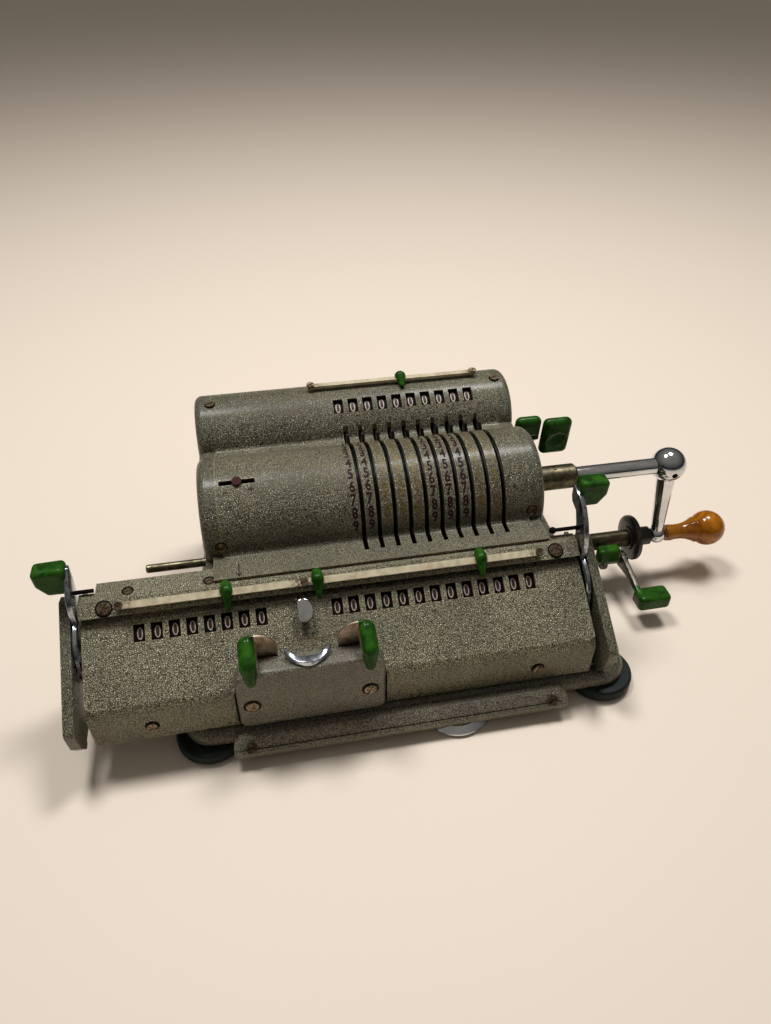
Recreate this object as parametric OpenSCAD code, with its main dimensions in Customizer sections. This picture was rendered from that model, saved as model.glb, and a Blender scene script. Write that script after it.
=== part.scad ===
// Pinwheel desk calculator with a sliding carriage, a hand crank and three registers.
// X runs along the carriage, Y runs to the back, Z is up. Millimetres.

/* [Register layout] */
// Distance from one digit column to the next
pitch = 8; // [7.5:0.1:8.5]
// Number of setting levers
lever_count = 10; // [8:1:10]
// Number of dials in the result register
result_count = 13; // [10:1:13]
// Number of dials in the turns counter
counter_count = 8; // [6:1:8]
// How far the carriage stands from its left stop, in columns
carriage_step = 1; // [0:1:2]
// Radius of a figure dial
dial_r = 12; // [11.5:0.1:12.2]
// Width of a figure dial
dial_w = 6; // [5.4:0.1:6.2]
// Width of a window
window_w = 5.3; // [4.5:0.1:5.6]
// Height of a window
window_h = 8.2; // [7:0.1:8.6]

/* [Base and feet] */
// Length of the base casting
base_l = 224; // [215:1:232]
// Front edge of the base casting, measured from the setting line
base_front = -54; // [-54.6:0.1:-53.4]
// Depth of the base casting
base_d = 168; // [165:1:172]
// Height of the base rim
base_h = 8.5; // [7:0.1:8.7]
// Radius of the plan corners of the base
base_corner_r = 14; // [10:1:18]
// Radius of a rubber foot
foot_r = 17; // [14:0.5:18]
// Height of a rubber foot
foot_h = 7; // [6.5:0.1:9]

/* [Housing] */
// Length of the housing over its side frames
housing_l = 173; // [171:1:176]
// Thickness of a side frame
frame_t = 9; // [7:0.5:10]
// Rounding of the outer edges of the side frames
frame_edge_r = 4; // [2:0.5:5]
// Outer radius of the drum hump
drum_cover_r = 30; // [29.6:0.1:30.4]
// Outer radius of the register hump
hump_r = 23; // [22:0.1:23.5]
// Sheet thickness of the cover
sheet_t = 1.5; // [1:0.1:1.8]
// Width of a setting slot
slot_w = 2.4; // [2.2:0.1:3]
// Height of the ledge in front of the drum
ledge_z = 72.5; // [72.4:0.1:73.5]
// Height of the floor of the valley between the humps
valley_z = 93.5; // [92.5:0.1:94.5]

/* [Drum and crank] */
// Height of the drum axis
drum_z = 73.6; // [73.2:0.1:74]
// Radius of the pinwheels
wheel_r = 27; // [25:0.5:27.5]
// Radius of the lever tips
tip_r = 36; // [34:0.5:36]
// Angle of one setting step
step_angle = 12.7; // [12:0.1:13]
// Angle of a lever at nought, above the horizontal at the back
zero_angle = 48; // [46:1:52]
// Radius of the crank shaft
shaft_r = 4.6; // [4:0.1:5]
// Radius of the crank bearing
bearing_r = 6.8; // [6:0.1:8]
// Length of the crank bearing outside the frame
bearing_l = 27.5; // [20:0.5:32]
// Distance of the crank ball from the frame
crank_reach = 83; // [80:0.5:90]
// Radius of the crank
crank_l = 46; // [42:0.5:50]
// Radius of the large crank ball
crank_ball_r = 9.8; // [8:0.1:11]
// Radius of the small crank ball
pin_ball_r = 5.3; // [4.5:0.1:6]
// Length of the hand grip
grip_l = 37; // [32:1:42]
// Largest radius of the hand grip
grip_r = 10.4; // [9:0.1:12]

/* [Carriage] */
// Length of the carriage cover
carriage_l = 240.5; // [239:0.5:244]
// Width of the gap in which a clearing lever swings
lever_gap = 4; // [3.5:0.1:5]
// Thickness of a cheek
cheek_t = 4.8; // [4:0.1:6]
// Height of the bottom edge of the carriage cover
carriage_bottom = 16.7; // [16.4:0.1:18]
// Height of the crease in the carriage cover
crease_z = 38.8; // [37:0.1:40]
// Thickness of a clearing lever
lever_t = 2.2; // [1.6:0.1:2.8]
// Reach of a clearing lever above its shaft
lever_reach = 43; // [40:0.5:46]

/* [Shift block] */
// Width of the shift block
block_w = 68; // [66:0.5:72]
// Height of the shift block
block_h = 40; // [38:0.5:42]
// Depth of the top of the shift block
block_d = 10.6; // [10:0.1:11.5]
// Height of a thumb wing
wing_h = 24; // [18:0.5:25]

/* [Fits] */
// Radial clearance of a running fit
run_fit = 0.05; // [0.02:0.01:0.08]
// Gap between parts that slide past each other
slide_gap = 0.3; // [0.2:0.05:0.4]

/* [Hidden] */
$fn = 48;
small_fn = 20;

slot_x0 = -pitch * (10 - 1) / 2;
window_shift = -2.3;
gear_shift = 1.7;

drum_y = 38;
hump_y = 89.5;
hump_z = 88.5;
fillet_r = 3;
valley_fillet_r = 2.5;
ledge_front = -8.7;
ledge_t = 1.2;
slot_front = -0.4;
slot_back = 69.5;

housing_x0 = -114.5;
housing_x1 = housing_x0 + housing_l;
cover_x0 = housing_x0 + frame_t;
cover_x1 = housing_x1 - frame_t;
frame_front = -1.8;
frame_top = 68.5;
back_y = hump_y + hump_r;

base_x0 = -133;
base_x1 = base_x0 + base_l;
base_back = base_front + base_d;
base_z1 = foot_h + base_h;
base_edge_r = 5;
foot_inset = 12;
back_foot_inset = 4;

// The dial shaft lies square under the windows in the sloping front
slope = 34.7;
slope_top = [-17.3, 62.1];
window_down = 6.2;
dial_gap = 0.8;
window_yz = slope_top - window_down * [cos(slope), sin(slope)];
dial_drop = sheet_t + dial_gap + dial_r;
dial_yz = window_yz + dial_drop * [sin(slope), -cos(slope)];
dial_shaft_r = 2.5;
result_x0 = slot_x0 + window_shift - 2 * pitch;
counter_x0 = slot_x0 + window_shift - 13.5 * pitch;

reg_angle = 122;
reg_dial_r = 13;
reg_yz = [hump_y, hump_z] + (hump_r - sheet_t - dial_gap - reg_dial_r) * [cos(reg_angle), sin(reg_angle)];

// The transfer gears stand between the drum and the dials
train_dir = [dial_yz[0] - drum_y, dial_yz[1] - drum_z] / norm([dial_yz[0] - drum_y, dial_yz[1] - drum_z]);
train_yz = [drum_y, drum_z] + 39.9 * train_dir;
train_r = 6.4;
train_shaft_r = 2;
dial_gear_r = 12.1;
gear_teeth = 10;

carriage_x0 = -172 + (carriage_step - 1) * pitch;
carriage_x1 = carriage_x0 + carriage_l;
crease_y = slope_top[0] - (slope_top[1] - crease_z) / tan(slope);
front_face_y = -50;
top_plate_z = ledge_z - ledge_t - 0.4;
top_plate_back = 1;
bar_top_y = -11.1;
bar_w = 7.7;
rail_w = 3.4;
rail_t = 1.5;
rail_lift = 1.2;
rail_ends = [-153.5, -68.6, 47.1];
rail_yz = [bar_top_y, top_plate_z] + bar_w / 2 * [-cos(slope), -sin(slope)];
carriage_shift = (carriage_step - 1) * pitch;

front_rail_y = -47;
front_rail_w = 6;
carriage_floor_z = base_z1 + 3;
back_rail_z = 22;
back_rail_h = 8;
back_rail_w = 6;

ball_x = housing_x1 + crank_reach;
crank_angle = 261.2;
grip_yz = [drum_y, drum_z] + crank_l * [cos(crank_angle), sin(crank_angle)];
grip_end = ball_x + pin_ball_r + grip_l;

block_x0 = -105;
block_front = -53;
block_z0 = carriage_bottom + 0.4;
block_z1 = block_z0 + block_h;
block_back = block_front + block_d;
block_t = 1.8;

left_lever_x = carriage_x0 - lever_gap / 2;
right_lever_x = carriage_x1 + lever_gap / 2;
lever_grip_w = 13;

rest_tube_r = 5;
rest_disc_r = 13.2;
rest_disc_x = 122.4;
rest_disc_t = 4.6;

lever_shaft_yz = [22, 20.8];
lever_shaft_r = 2.5;
lever_shaft_x1 = 120.4;
lever_hub_r = 5;
bell_xy = [0, -47.5];
bell_r = 18;
top_rail_yz = [90.5, 113];

// The frame stands under the middle of the whole outline
left_end = left_lever_x - lever_t / 2 - lever_grip_w;
middle_x = (left_end + grip_end) / 2;
middle_y = (bell_xy[1] - bell_r + base_back - foot_inset - back_foot_inset + foot_r) / 2;

enamel = [0.42, 0.45, 0.40];
steel = [0.62, 0.62, 0.60];
chrome = [0.80, 0.81, 0.83];
green = [0.05, 0.32, 0.10];
bronze = [0.42, 0.36, 0.24];
ivory = [0.85, 0.80, 0.66];
black = [0.08, 0.08, 0.08];
amber = [0.78, 0.45, 0.06];
rubber = [0.06, 0.10, 0.08];
screw_brown = [0.33, 0.25, 0.16];

// Helpers

module placed() translate([-middle_x, -middle_y, 0]) children();

// A profile drawn in (y, z) and run along X
module along_x(x0, x1) translate([x0, 0, 0]) rotate([90, 0, 90]) linear_extrude(x1 - x0) children();

// A turned piece whose axis is parallel to X
module turned_x(x, yz) translate([x, yz[0], yz[1]]) rotate([90, 0, 90]) children();

module rod_x(x0, x1, yz, r) turned_x(x0, yz) cylinder(h = x1 - x0, r = r);

// A rectangle between two (y, z) corners
module patch(y0, y1, z0, z1) translate([y0, z0]) square([y1 - y0, z1 - z0]);

module block(x0, x1, y0, y1, z0, z1) translate([x0, y0, z0]) cube([x1 - x0, y1 - y0, z1 - z0]);

// A slotted screw head that stands on a face, its axis along Z
module screw_head(r, h, turn = 20) {
    difference() {
        cylinder(h = h, r = r, $fn = 24);
        rotate([0, 0, turn]) translate([-r - 1, -0.4, h * 0.5]) cube([2 * r + 2, 0.8, h]);
    }
}

// Puts a piece on the sloping front, its foot on the slope at a distance down it
module on_slope(x, down, lift = 0) {
    p = slope_top - down * [cos(slope), sin(slope)] + lift * [-sin(slope), cos(slope)];
    translate([x, p[0], p[1]]) rotate([slope, 0, 0]) children();
}

// Quarter-round disc: the outline of a hump, rounded on its outer side only
module hump_end(r, t, edge) {
    rotate_extrude($fn = 96) {
        square([r, t - edge]);
        square([r - edge, t]);
        intersection() {
            translate([r - edge, t - edge]) circle(edge);
            square([r, t]);
        }
    }
}

// Base

// Half of the slab's section: upright wall with a rounded top edge
module rim_section(r) {
    square([r, base_h - base_edge_r]);
    square([r - base_edge_r, base_h]);
    intersection() {
        translate([r - base_edge_r, base_h - base_edge_r]) circle(base_edge_r, $fn = 32);
        square([r, base_h]);
    }
}

module rim_bar(half, length) {
    translate([0, length / 2, 0]) rotate([90, 0, 0]) linear_extrude(length) {
        rim_section(half);
        mirror([1, 0]) rim_section(half);
    }
}

// The slab is two crossed bars and four turned corners, all with one section
module base_slab() {
    r = base_corner_r;
    mid = [(base_x0 + base_x1) / 2, (base_front + base_back) / 2, foot_h];
    translate(mid) rim_bar(base_l / 2, base_d - 2 * r);
    translate(mid) rotate([0, 0, 90]) rim_bar(base_d / 2, base_l - 2 * r);
    for (x = [base_x0 + r, base_x1 - r], y = [base_front + r, base_back - r]) {
        translate([x, y, foot_h]) rotate_extrude() intersection() {
            rim_section(r);
            square([r, base_h]);
        }
    }
}

module base_casting() placed() color(enamel) base_slab();

foot_places = [for (x = [base_x0 + foot_inset, base_x1 - foot_inset], y = [base_front + foot_inset, base_back - foot_inset - back_foot_inset]) [x, y]];

module rubber_feet() placed() color(rubber) {
    for (p = foot_places) translate([p[0], p[1], 0]) rotate_extrude() {
        polygon([[0, 0], [foot_r - 1.5, 0], [foot_r, 1.5], [foot_r, foot_h - 1], [foot_r - 1, foot_h], [0, foot_h]]);
    }
}

module front_rail_cover() placed() color(enamel) {
    x0 = -110;
    x1 = 54;
    z0 = foot_h - 0.4;
    z1 = base_z1 + 0.4;
    y1 = base_front - 0.05;
    corner = 4;
    intersection() {
        along_x(x0, x1) polygon([[y1, z0], [y1 - 8.3, z0], rail_face_low, rail_face_high, [y1 - 3.2, z1], [y1, z1]]);
        translate([0, y1 + 1, 0]) rotate([90, 0, 0]) linear_extrude(12) {
            translate([x0 + corner, z0]) square([x1 - x0 - 2 * corner, z1 - z0]);
            translate([x0, z0 + corner]) square([x1 - x0, z1 - z0 - 2 * corner]);
            for (x = [x0 + corner, x1 - corner], z = [z0 + corner, z1 - corner]) translate([x, z]) circle(corner);
        }
    }
}

// The leaning face of the rail cover, which carries its two screws
rail_face_low = [base_front - 8.6, foot_h + 2.2];
rail_face_high = [base_front - 4.7, base_z1 - 0.8];
rail_face_angle = 90 - atan2(rail_face_high[0] - rail_face_low[0], rail_face_high[1] - rail_face_low[1]);
rail_screw_x = [-102, 46];

module front_rail() placed() color(steel) {
    block(base_x0 + 6, base_x1 - 6, front_rail_y, front_rail_y + front_rail_w, base_z1, carriage_floor_z - slide_gap);
}

module back_rail() placed() color(steel) {
    block(housing_x0, housing_x1, frame_front - back_rail_w, frame_front, back_rail_z, back_rail_z + back_rail_h);
}

// Housing

// Outline of a side frame below the humps, with rounded outer upright edges
module frame_plan(y0, y1, t, edge) {
    translate([0, y0]) square([t - edge, y1 - y0]);
    translate([0, y0 + edge]) square([t, y1 - y0 - 2 * edge]);
    for (y = [y0 + edge, y1 - edge]) translate([t - edge, y]) circle(edge);
}

module side_frame_solid() {
    difference() {
        union() {
            turned_x(0, [drum_y, drum_z]) hump_end(drum_cover_r, frame_t, frame_edge_r);
            turned_x(0, [hump_y, hump_z]) hump_end(hump_r, frame_t, frame_edge_r);
            translate([0, 0, base_z1]) linear_extrude(frame_top - base_z1) {
                frame_plan(frame_front, back_y, frame_t, frame_edge_r);
            }
            translate([0, 0, base_z1]) linear_extrude(hump_z - base_z1) {
                frame_plan(drum_y + 16, back_y, frame_t, frame_edge_r);
            }
            block(0, frame_t - frame_edge_r, drum_y + 16, hump_y, hump_z - 20, valley_z);
            block(0, frame_t, drum_y + 16, hump_y, hump_z - 20, valley_z - frame_edge_r);
            translate([frame_t - frame_edge_r, drum_y + 16, valley_z - frame_edge_r]) {
                rotate([-90, 0, 0]) cylinder(h = hump_y - drum_y - 16, r = frame_edge_r);
            }
        }
        rod_x(-1, frame_t + 1, train_yz, train_shaft_r + run_fit);
        rod_x(-1, frame_t - 3, reg_yz, 2.5 + run_fit);
    }
}

module left_side_frame() placed() color(enamel) {
    difference() {
        translate([cover_x0, 0, 0]) mirror([1, 0, 0]) side_frame_solid();
        rod_x(housing_x0 + 2, cover_x0 + 1, [drum_y, drum_z], shaft_r + run_fit);
        rod_x(housing_x0 - 1, cover_x0 + 1, guide_yz, guide_r);
    }
}

module right_side_frame() placed() color(enamel) {
    difference() {
        translate([cover_x1, 0, 0]) side_frame_solid();
        rod_x(cover_x1 - 1, housing_x1 + 1, [drum_y, drum_z], bearing_r);
        rod_x(housing_x1 - 5, housing_x1 + 1, grip_yz, rest_tube_r);
        rod_x(housing_x1 - 5, housing_x1 + 1, zero_yz, zero_pin_r + run_fit);
    }
}

// The bent sheet in (y, z): ledge, drum hump, valley, register hump, back wall
module cover_outside() {
    valley_left = drum_y + sqrt(pow(drum_cover_r + valley_fillet_r, 2) - pow(valley_z + valley_fillet_r - drum_z, 2));
    valley_right = hump_y - sqrt(pow(hump_r + valley_fillet_r, 2) - pow(valley_z + valley_fillet_r - hump_z, 2));
    ledge_fillet = drum_y - sqrt(pow(drum_cover_r + fillet_r, 2) - pow(ledge_z + fillet_r - drum_z, 2));
    intersection() {
        translate([drum_y, drum_z]) circle(drum_cover_r, $fn = 96);
        patch(0, drum_y + 22, ledge_z - ledge_t, drum_z + drum_cover_r + 1);
    }
    patch(ledge_front, drum_y - drum_cover_r + 2, ledge_z - ledge_t, ledge_z);
    difference() {
        patch(ledge_fillet, drum_y - drum_cover_r + 0.6, ledge_z - 0.1, ledge_z + fillet_r - 0.2);
        translate([ledge_fillet, ledge_z + fillet_r]) circle(fillet_r);
    }
    difference() {
        patch(valley_left - 2.6, valley_right + 3, valley_z - sheet_t, valley_z + 3);
        translate([valley_left, valley_z + valley_fillet_r]) circle(valley_fillet_r);
        translate([valley_right, valley_z + valley_fillet_r]) circle(valley_fillet_r);
        patch(valley_left, valley_right, valley_z, valley_z + 4);
        patch(valley_left - 3, valley_right + 4, valley_z + valley_fillet_r - 0.6, valley_z + 4);
    }
    intersection() {
        translate([hump_y, hump_z]) circle(hump_r, $fn = 96);
        patch(hump_y - hump_r, back_y, hump_z, hump_z + hump_r + 1);
    }
    patch(back_y - sheet_t, back_y, base_z1, hump_z + 1);
}

module cover_sheet() {
    difference() {
        cover_outside();
        translate([drum_y, drum_z]) circle(drum_cover_r - sheet_t, $fn = 96);
        intersection() {
            translate([hump_y, hump_z]) circle(hump_r - sheet_t, $fn = 96);
            patch(hump_y - hump_r, back_y, hump_z - 1, hump_z + hump_r);
        }
        patch(hump_y - hump_r - 1, hump_y - hump_r + 4, hump_z - 10, valley_z - sheet_t);
    }
}

module housing_cover() placed() color(enamel) {
    difference() {
        union() {
            along_x(cover_x0, cover_x1) cover_sheet();
            for (x = [[housing_x0 + 4.2, cover_x0], [cover_x1, housing_x1 - 3.5]]) {
                block(x[0], x[1], ledge_front, drum_y - drum_cover_r - 0.1, ledge_z - ledge_t, ledge_z);
            }
        }
        for (k = [0:lever_count - 1]) {
            x = slot_x0 + pitch * k;
            block(x - slot_w / 2, x + slot_w / 2, slot_front, slot_back, ledge_z - 10, hump_z + hump_r + 1);
            translate([x + window_shift, hump_y, hump_z]) rotate([reg_angle - 90, 0, 0]) {
                translate([-window_w / 2, -window_h / 2, hump_r - 6]) cube([window_w, window_h, 10]);
            }
        }
        translate([sign_x, drum_y, drum_z]) rotate([sign_angle - 90, 0, 0]) {
            translate([-8.7, -1.3, drum_cover_r - 4]) cube([17.4, 2.6, 8]);
        }
    }
}

sign_x = -95;
sign_angle = 111;
guide_yz = [12.6, 65.8];
guide_r = 1.6;
cover_screw_r = 2.4;
// A head that sits on a curved or leaning face stands this far off it
seat = 0.02;

module radial(x, yz, angle, r) translate([x, yz[0], yz[1]]) rotate([angle - 90, 0, 0]) translate([0, 0, r]) children();

module housing_screws() placed() color(screw_brown) {
    drum = [drum_y, drum_z];
    hump = [hump_y, hump_z];
    for (x = [housing_x0 + 8.6, housing_x1 - 7.6]) {
        radial(x, drum, 172.5, drum_cover_r + seat) screw_head(cover_screw_r, 1);
        radial(x, hump, 99, hump_r + seat) screw_head(cover_screw_r, 1);
    }
    mid = (rail_face_low + rail_face_high) / 2 + seat * [-1, 1];
    for (x = rail_screw_x) translate([x, mid[0], mid[1]]) rotate([rail_face_angle, 0, 0]) screw_head(2.6, 1);
}

module crank_bearing() placed() color(bronze) {
    difference() {
        rod_x(cover_x1, housing_x1 + bearing_l, [drum_y, drum_z], bearing_r);
        rod_x(cover_x1 - 1, housing_x1 + bearing_l + 1, [drum_y, drum_z], shaft_r + run_fit);
        translate([housing_x1 + 16, drum_y, drum_z]) rotate([55, 0, 0]) cylinder(h = bearing_r + 1, r = 1.2);
    }
}

module guide_rod() placed() color(steel) rod_x(housing_x0 - 29, cover_x0 + 6, guide_yz, guide_r);

module register_marker_rail() placed() color(ivory) {
    x0 = -53;
    x1 = 41;
    block(x0, x1, top_rail_yz[0] - rail_w / 2, top_rail_yz[0] + rail_w / 2, top_rail_yz[1], top_rail_yz[1] + rail_t);
    for (x = [x0 + 1.6, x1 - 1.6]) translate([x, top_rail_yz[0], hump_z + hump_r]) {
        cylinder(h = top_rail_yz[1] - hump_z - hump_r, r = 1.5);
        translate([0, 0, top_rail_yz[1] + rail_t - hump_z - hump_r]) screw_head(2.2, 1);
    }
}

module rest_tube() placed() color(bronze) rod_x(housing_x1 - 5, rest_disc_x, grip_yz, rest_tube_r);

module rest_disc() placed() color(black) {
    turned_x(rest_disc_x, grip_yz) rotate_extrude() polygon([
        [0, 0], [7, 0], [7, 1], [rest_disc_r - 0.8, 1], [rest_disc_r, 1.8], [rest_disc_r, 3.6],
        [rest_disc_r - 1, rest_disc_t], [9, rest_disc_t], [8.4, rest_disc_t - 0.6], [5.4, rest_disc_t - 0.6],
        [5.4, ball_x - pin_ball_r - slide_gap - rest_disc_x], [0, ball_x - pin_ball_r - slide_gap - rest_disc_x]
    ]);
}

module bell() placed() color(chrome) translate([bell_xy[0], bell_xy[1], 0]) {
    rotate_extrude() polygon([
        [0, 5], [8, 4.6], [14, 3.4], [bell_r - 1, 1.6], [bell_r, 1.6], [bell_r, 2.4],
        [14.6, 4.8], [8, 6], [3, 6.3], [3, foot_h], [0, foot_h]
    ]);
}

module lever_shaft() placed() color(steel) {
    y = lever_shaft_yz[0];
    rod_x(base_x1 - 12, lever_shaft_x1, lever_shaft_yz, lever_shaft_r);
    block(base_x1 - 12, base_x1 - 2, y - 5, y + 3.5, base_z1, lever_shaft_yz[1] + 4.2);
}

// Registers and drum

// A figure dial; one that is driven has a gear wheel at its side
module dial(r, w, gear_r) {
    rod_x(-w / 2, w / 2, [0, 0], r);
    if (gear_r > 0) along_x(-pitch / 2 - 0.7, -w / 2 + 0.1) gear_outline(gear_r, gear_teeth, 2.2, 1.1);
}

module register_shaft() placed() color(steel) rod_x(cover_x0 - frame_t + 3.5, cover_x1 + frame_t - 3.5, reg_yz, 2.5);

module register_dials() placed() color(black) {
    for (k = [0:lever_count - 1]) translate([slot_x0 + window_shift + pitch * k, reg_yz[0], reg_yz[1]]) {
        difference() {
            dial(reg_dial_r, dial_w, 0);
            rod_x(-dial_w, dial_w, [0, 0], 2.5 + run_fit);
        }
    }
}

module transfer_shaft() placed() color(steel) rod_x(housing_x0 + 1, housing_x1 - 1, train_yz, train_shaft_r);

// A gear seen along its shaft; gap is half the width of a tooth space at its bottom
module gear_outline(r, teeth, depth, gap) {
    difference() {
        circle(r);
        for (k = [0:teeth - 1]) rotate(360 / teeth * k) translate([r, 0]) {
            polygon([[-depth, -gap], [1, -gap - 0.6], [1, gap + 0.6], [-depth, gap]]);
        }
    }
}

module transfer_gears() placed() color(bronze) {
    for (k = [0:lever_count - 1]) {
        translate([slot_x0 + gear_shift + pitch * k - 0.6, train_yz[0], train_yz[1]]) rotate([90, 0, 90]) {
            linear_extrude(1.2) difference() {
                gear_outline(train_r, gear_teeth, 1.8, 0.5);
                circle(train_shaft_r + run_fit);
            }
        }
    }
}

module main_shaft() placed() color(chrome) rod_x(housing_x0 + 2.5, ball_x - 4, [drum_y, drum_z], shaft_r);

core_r = 12;
ring_t = 1.6;

module pinwheel_drum() placed() color(steel) {
    x0 = slot_x0 - ring_t / 2 - slide_gap - 3;
    difference() {
        union() {
            rod_x(x0, slot_x0 + pitch * lever_count + 2, [drum_y, drum_z], core_r);
            for (k = [-1:lever_count - 1]) {
                x = slot_x0 + pitch * k;
                a = k < 0 ? x + pitch - ring_t / 2 - slide_gap - 3 : x + ring_t / 2 + slide_gap;
                b = x + pitch - ring_t / 2 - slide_gap;
                turned_x(a, [drum_y, drum_z]) linear_extrude(b - a) pin_outline();
            }
        }
        rod_x(x0 - 1, slot_x0 + pitch * lever_count + 3, [drum_y, drum_z], shaft_r);
    }
}

// A pinwheel seen along the shaft: nine radial slots hold the pins
module pin_outline() {
    difference() {
        circle(wheel_r);
        for (k = [0:8]) rotate(zero_angle + 118 + step_angle * k) translate([wheel_r - 6, -0.9]) square([8, 1.8]);
    }
    for (k = [0:8]) rotate(zero_angle + 118 + step_angle * k) translate([wheel_r - 6.5, -0.7]) square([6, 1.4]);
}

module setting_ring(k) placed() color(black) {
    x = slot_x0 + pitch * (k - 1);
    along_x(x - ring_t / 2, x + ring_t / 2) translate([drum_y, drum_z]) {
        difference() {
            union() {
                circle(wheel_r - 0.6);
                rotate(zero_angle) translate([wheel_r - 3, -2.4]) square([tip_r - wheel_r + 0.6, 4.8]);
                rotate(zero_angle) translate([tip_r - 2.4, 0]) circle(2.4, $fn = small_fn);
            }
            circle(core_r + run_fit);
        }
    }
}

module crank_arm() placed() color(chrome) {
    difference() {
        union() {
            translate([ball_x, drum_y, drum_z]) sphere(crank_ball_r, $fn = 64);
            translate([ball_x, drum_y, drum_z]) rotate([crank_angle - 90, 0, 0]) {
                cylinder(h = crank_l, r1 = 5.2, r2 = 3.3);
            }
            translate([ball_x, grip_yz[0], grip_yz[1]]) sphere(pin_ball_r);
            rod_x(ball_x + pin_ball_r - 1.5, ball_x + pin_ball_r + grip_l - 8, grip_yz, 1.8);
        }
        rod_x(ball_x - crank_ball_r - 1, ball_x - 4, [drum_y, drum_z], shaft_r);
    }
}

module crank_grip() placed() color(amber) {
    end = grip_l;
    neck = 4.6;
    c = end - grip_r;
    join = 50;
    turned_x(ball_x + pin_ball_r + 0.2, grip_yz) rotate_extrude() polygon(concat(
        [[1.8 + run_fit, 0], [neck, 0], [neck + 0.3, 2], [neck - 0.2, 9], [neck + 1.6, 15.6]],
        [for (a = [90 + join:-10:90]) [grip_r * sin(a), c + grip_r * cos(a)]],
        [for (a = [80:-10:10]) [grip_r * sin(a), c + grip_r * cos(a)]],
        [[0, end - 0.2], [0, grip_l - 7], [1.8 + run_fit, grip_l - 7]]
    ));
}

// Carriage

module carriage_frame() placed() color(steel) {
    wall = 2;
    floor_back = -14;
    inner_x0 = carriage_x0 + 1;
    inner_x1 = carriage_x1 - 1;
    end_plate = [
        [front_face_y + sheet_t + 0.2, carriage_floor_z], [front_face_y + sheet_t + 0.2, crease_z - 1.4],
        [slope_top[0], slope_top[1] - sheet_t - 0.5], [-10.5, slope_top[1] - sheet_t - 0.4], [-10.5, top_plate_z - sheet_t],
        [frame_front - slide_gap, top_plate_z - sheet_t], [frame_front - slide_gap, 40],
        [floor_back, 24], [floor_back, carriage_floor_z]
    ];
    difference() {
        union() {
            for (x = [inner_x0, inner_x1 - wall]) along_x(x, x + wall) polygon(end_plate);
            block(inner_x0, inner_x1, front_face_y + sheet_t + 0.2, floor_back, carriage_floor_z, carriage_floor_z + wall);
            for (x = [-92, -12]) {
                block(x + carriage_shift, x + 18 + carriage_shift, floor_back - 3, frame_front - back_rail_w - slide_gap, carriage_floor_z, back_rail_z + back_rail_h + 4);
                block(x + carriage_shift, x + 18 + carriage_shift, floor_back - 3, frame_front - 2, back_rail_z + back_rail_h + slide_gap, back_rail_z + back_rail_h + 4);
            }
        }
        rod_x(inner_x0 - 1, inner_x1 + 1, dial_yz, dial_shaft_r);
    }
}

module cover_profile() {
    c = [crease_y, crease_z];
    b = [front_face_y, carriage_bottom];
    t = sheet_t;
    polygon([
        b, c, slope_top, [-11.4, slope_top[1]], [-11.4, slope_top[1] - t],
        [slope_top[0] + t * tan(slope / 2), slope_top[1] - t],
        [c[0] + t, c[1] - t * tan(slope / 2) - 0.1], [b[0] + t, b[1]]
    ]);
}

module window_cut(x) on_slope(x, window_down, -sheet_t - 1) {
    translate([-window_w / 2, -window_h / 2, 0]) cube([window_w, window_h, sheet_t + 3]);
}

module carriage_cover() placed() color(enamel) {
    difference() {
        along_x(carriage_x0, carriage_x1) cover_profile();
        for (k = [0:result_count - 1]) window_cut(result_x0 + pitch * k + carriage_shift);
        for (k = [0:counter_count - 1]) window_cut(counter_x0 + pitch * k + carriage_shift);
        on_slope(knob_x, knob_down, -sheet_t - 2) cylinder(h = 8, r = knob_stem_r + run_fit);
    }
}

knob_x = -70 + carriage_shift;
knob_down = 7;
knob_stem_r = 2;

module carriage_top_plate() placed() color(enamel) {
    t = sheet_t;
    low = [bar_top_y - bar_w * cos(slope), top_plate_z - bar_w * sin(slope)];
    under = t * [sin(slope), -cos(slope)];
    difference() {
        along_x(carriage_x0, carriage_x1) polygon([
            [top_plate_back, top_plate_z], [bar_top_y, top_plate_z], low, low + under,
            [bar_top_y + t * tan(slope / 2), top_plate_z - t], [top_plate_back, top_plate_z - t]
        ]);
        for (x = plate_screw_x) {
            translate([x + carriage_shift, plate_screw_y, top_plate_z - plate_screw_h]) cylinder(h = t, r = 2.25);
        }
    }
}

// Sunk screws of the top plate, which pass under the ledge of the housing
plate_screw_x = [-150, -112.8];
plate_screw_y = -6.5;
plate_screw_h = 0.9;

// A cheek stands proud of the sloping front and ends in a rounded nose
module cheek_profile() {
    proud = 1.4;
    up = proud * [-sin(slope), cos(slope)];
    nose = [front_face_y - 4, crease_z - 3.4];
    nose_r = 4;
    polygon(concat(
        [[0.8, 56], [0.6, 64], [-3, 69], [-8, slope_top[1] + (-8 - slope_top[0]) * tan(slope) + 1.7]],
        [for (a = [90 + slope:12:190]) nose + nose_r * [cos(a), sin(a)]],
        [[front_face_y - 6.2, 25], [front_face_y - 1, carriage_bottom + 0.2]],
        [[front_rail_y - 0.6, carriage_bottom + 0.2], [front_rail_y - 0.6, carriage_floor_z]],
        [[-24, carriage_floor_z], [-18, 24], [-14, 36]]
    ));
}

module cheek(x0) {
    difference() {
        along_x(x0, x0 + cheek_t) cheek_profile();
        rod_x(x0 - 1, x0 + cheek_t + 1, dial_yz, dial_shaft_r);
    }
}

module left_cheek() placed() color(enamel) cheek(carriage_x0 - lever_gap - cheek_t);

module right_cheek() placed() color(enamel) cheek(carriage_x1 + lever_gap);

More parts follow.
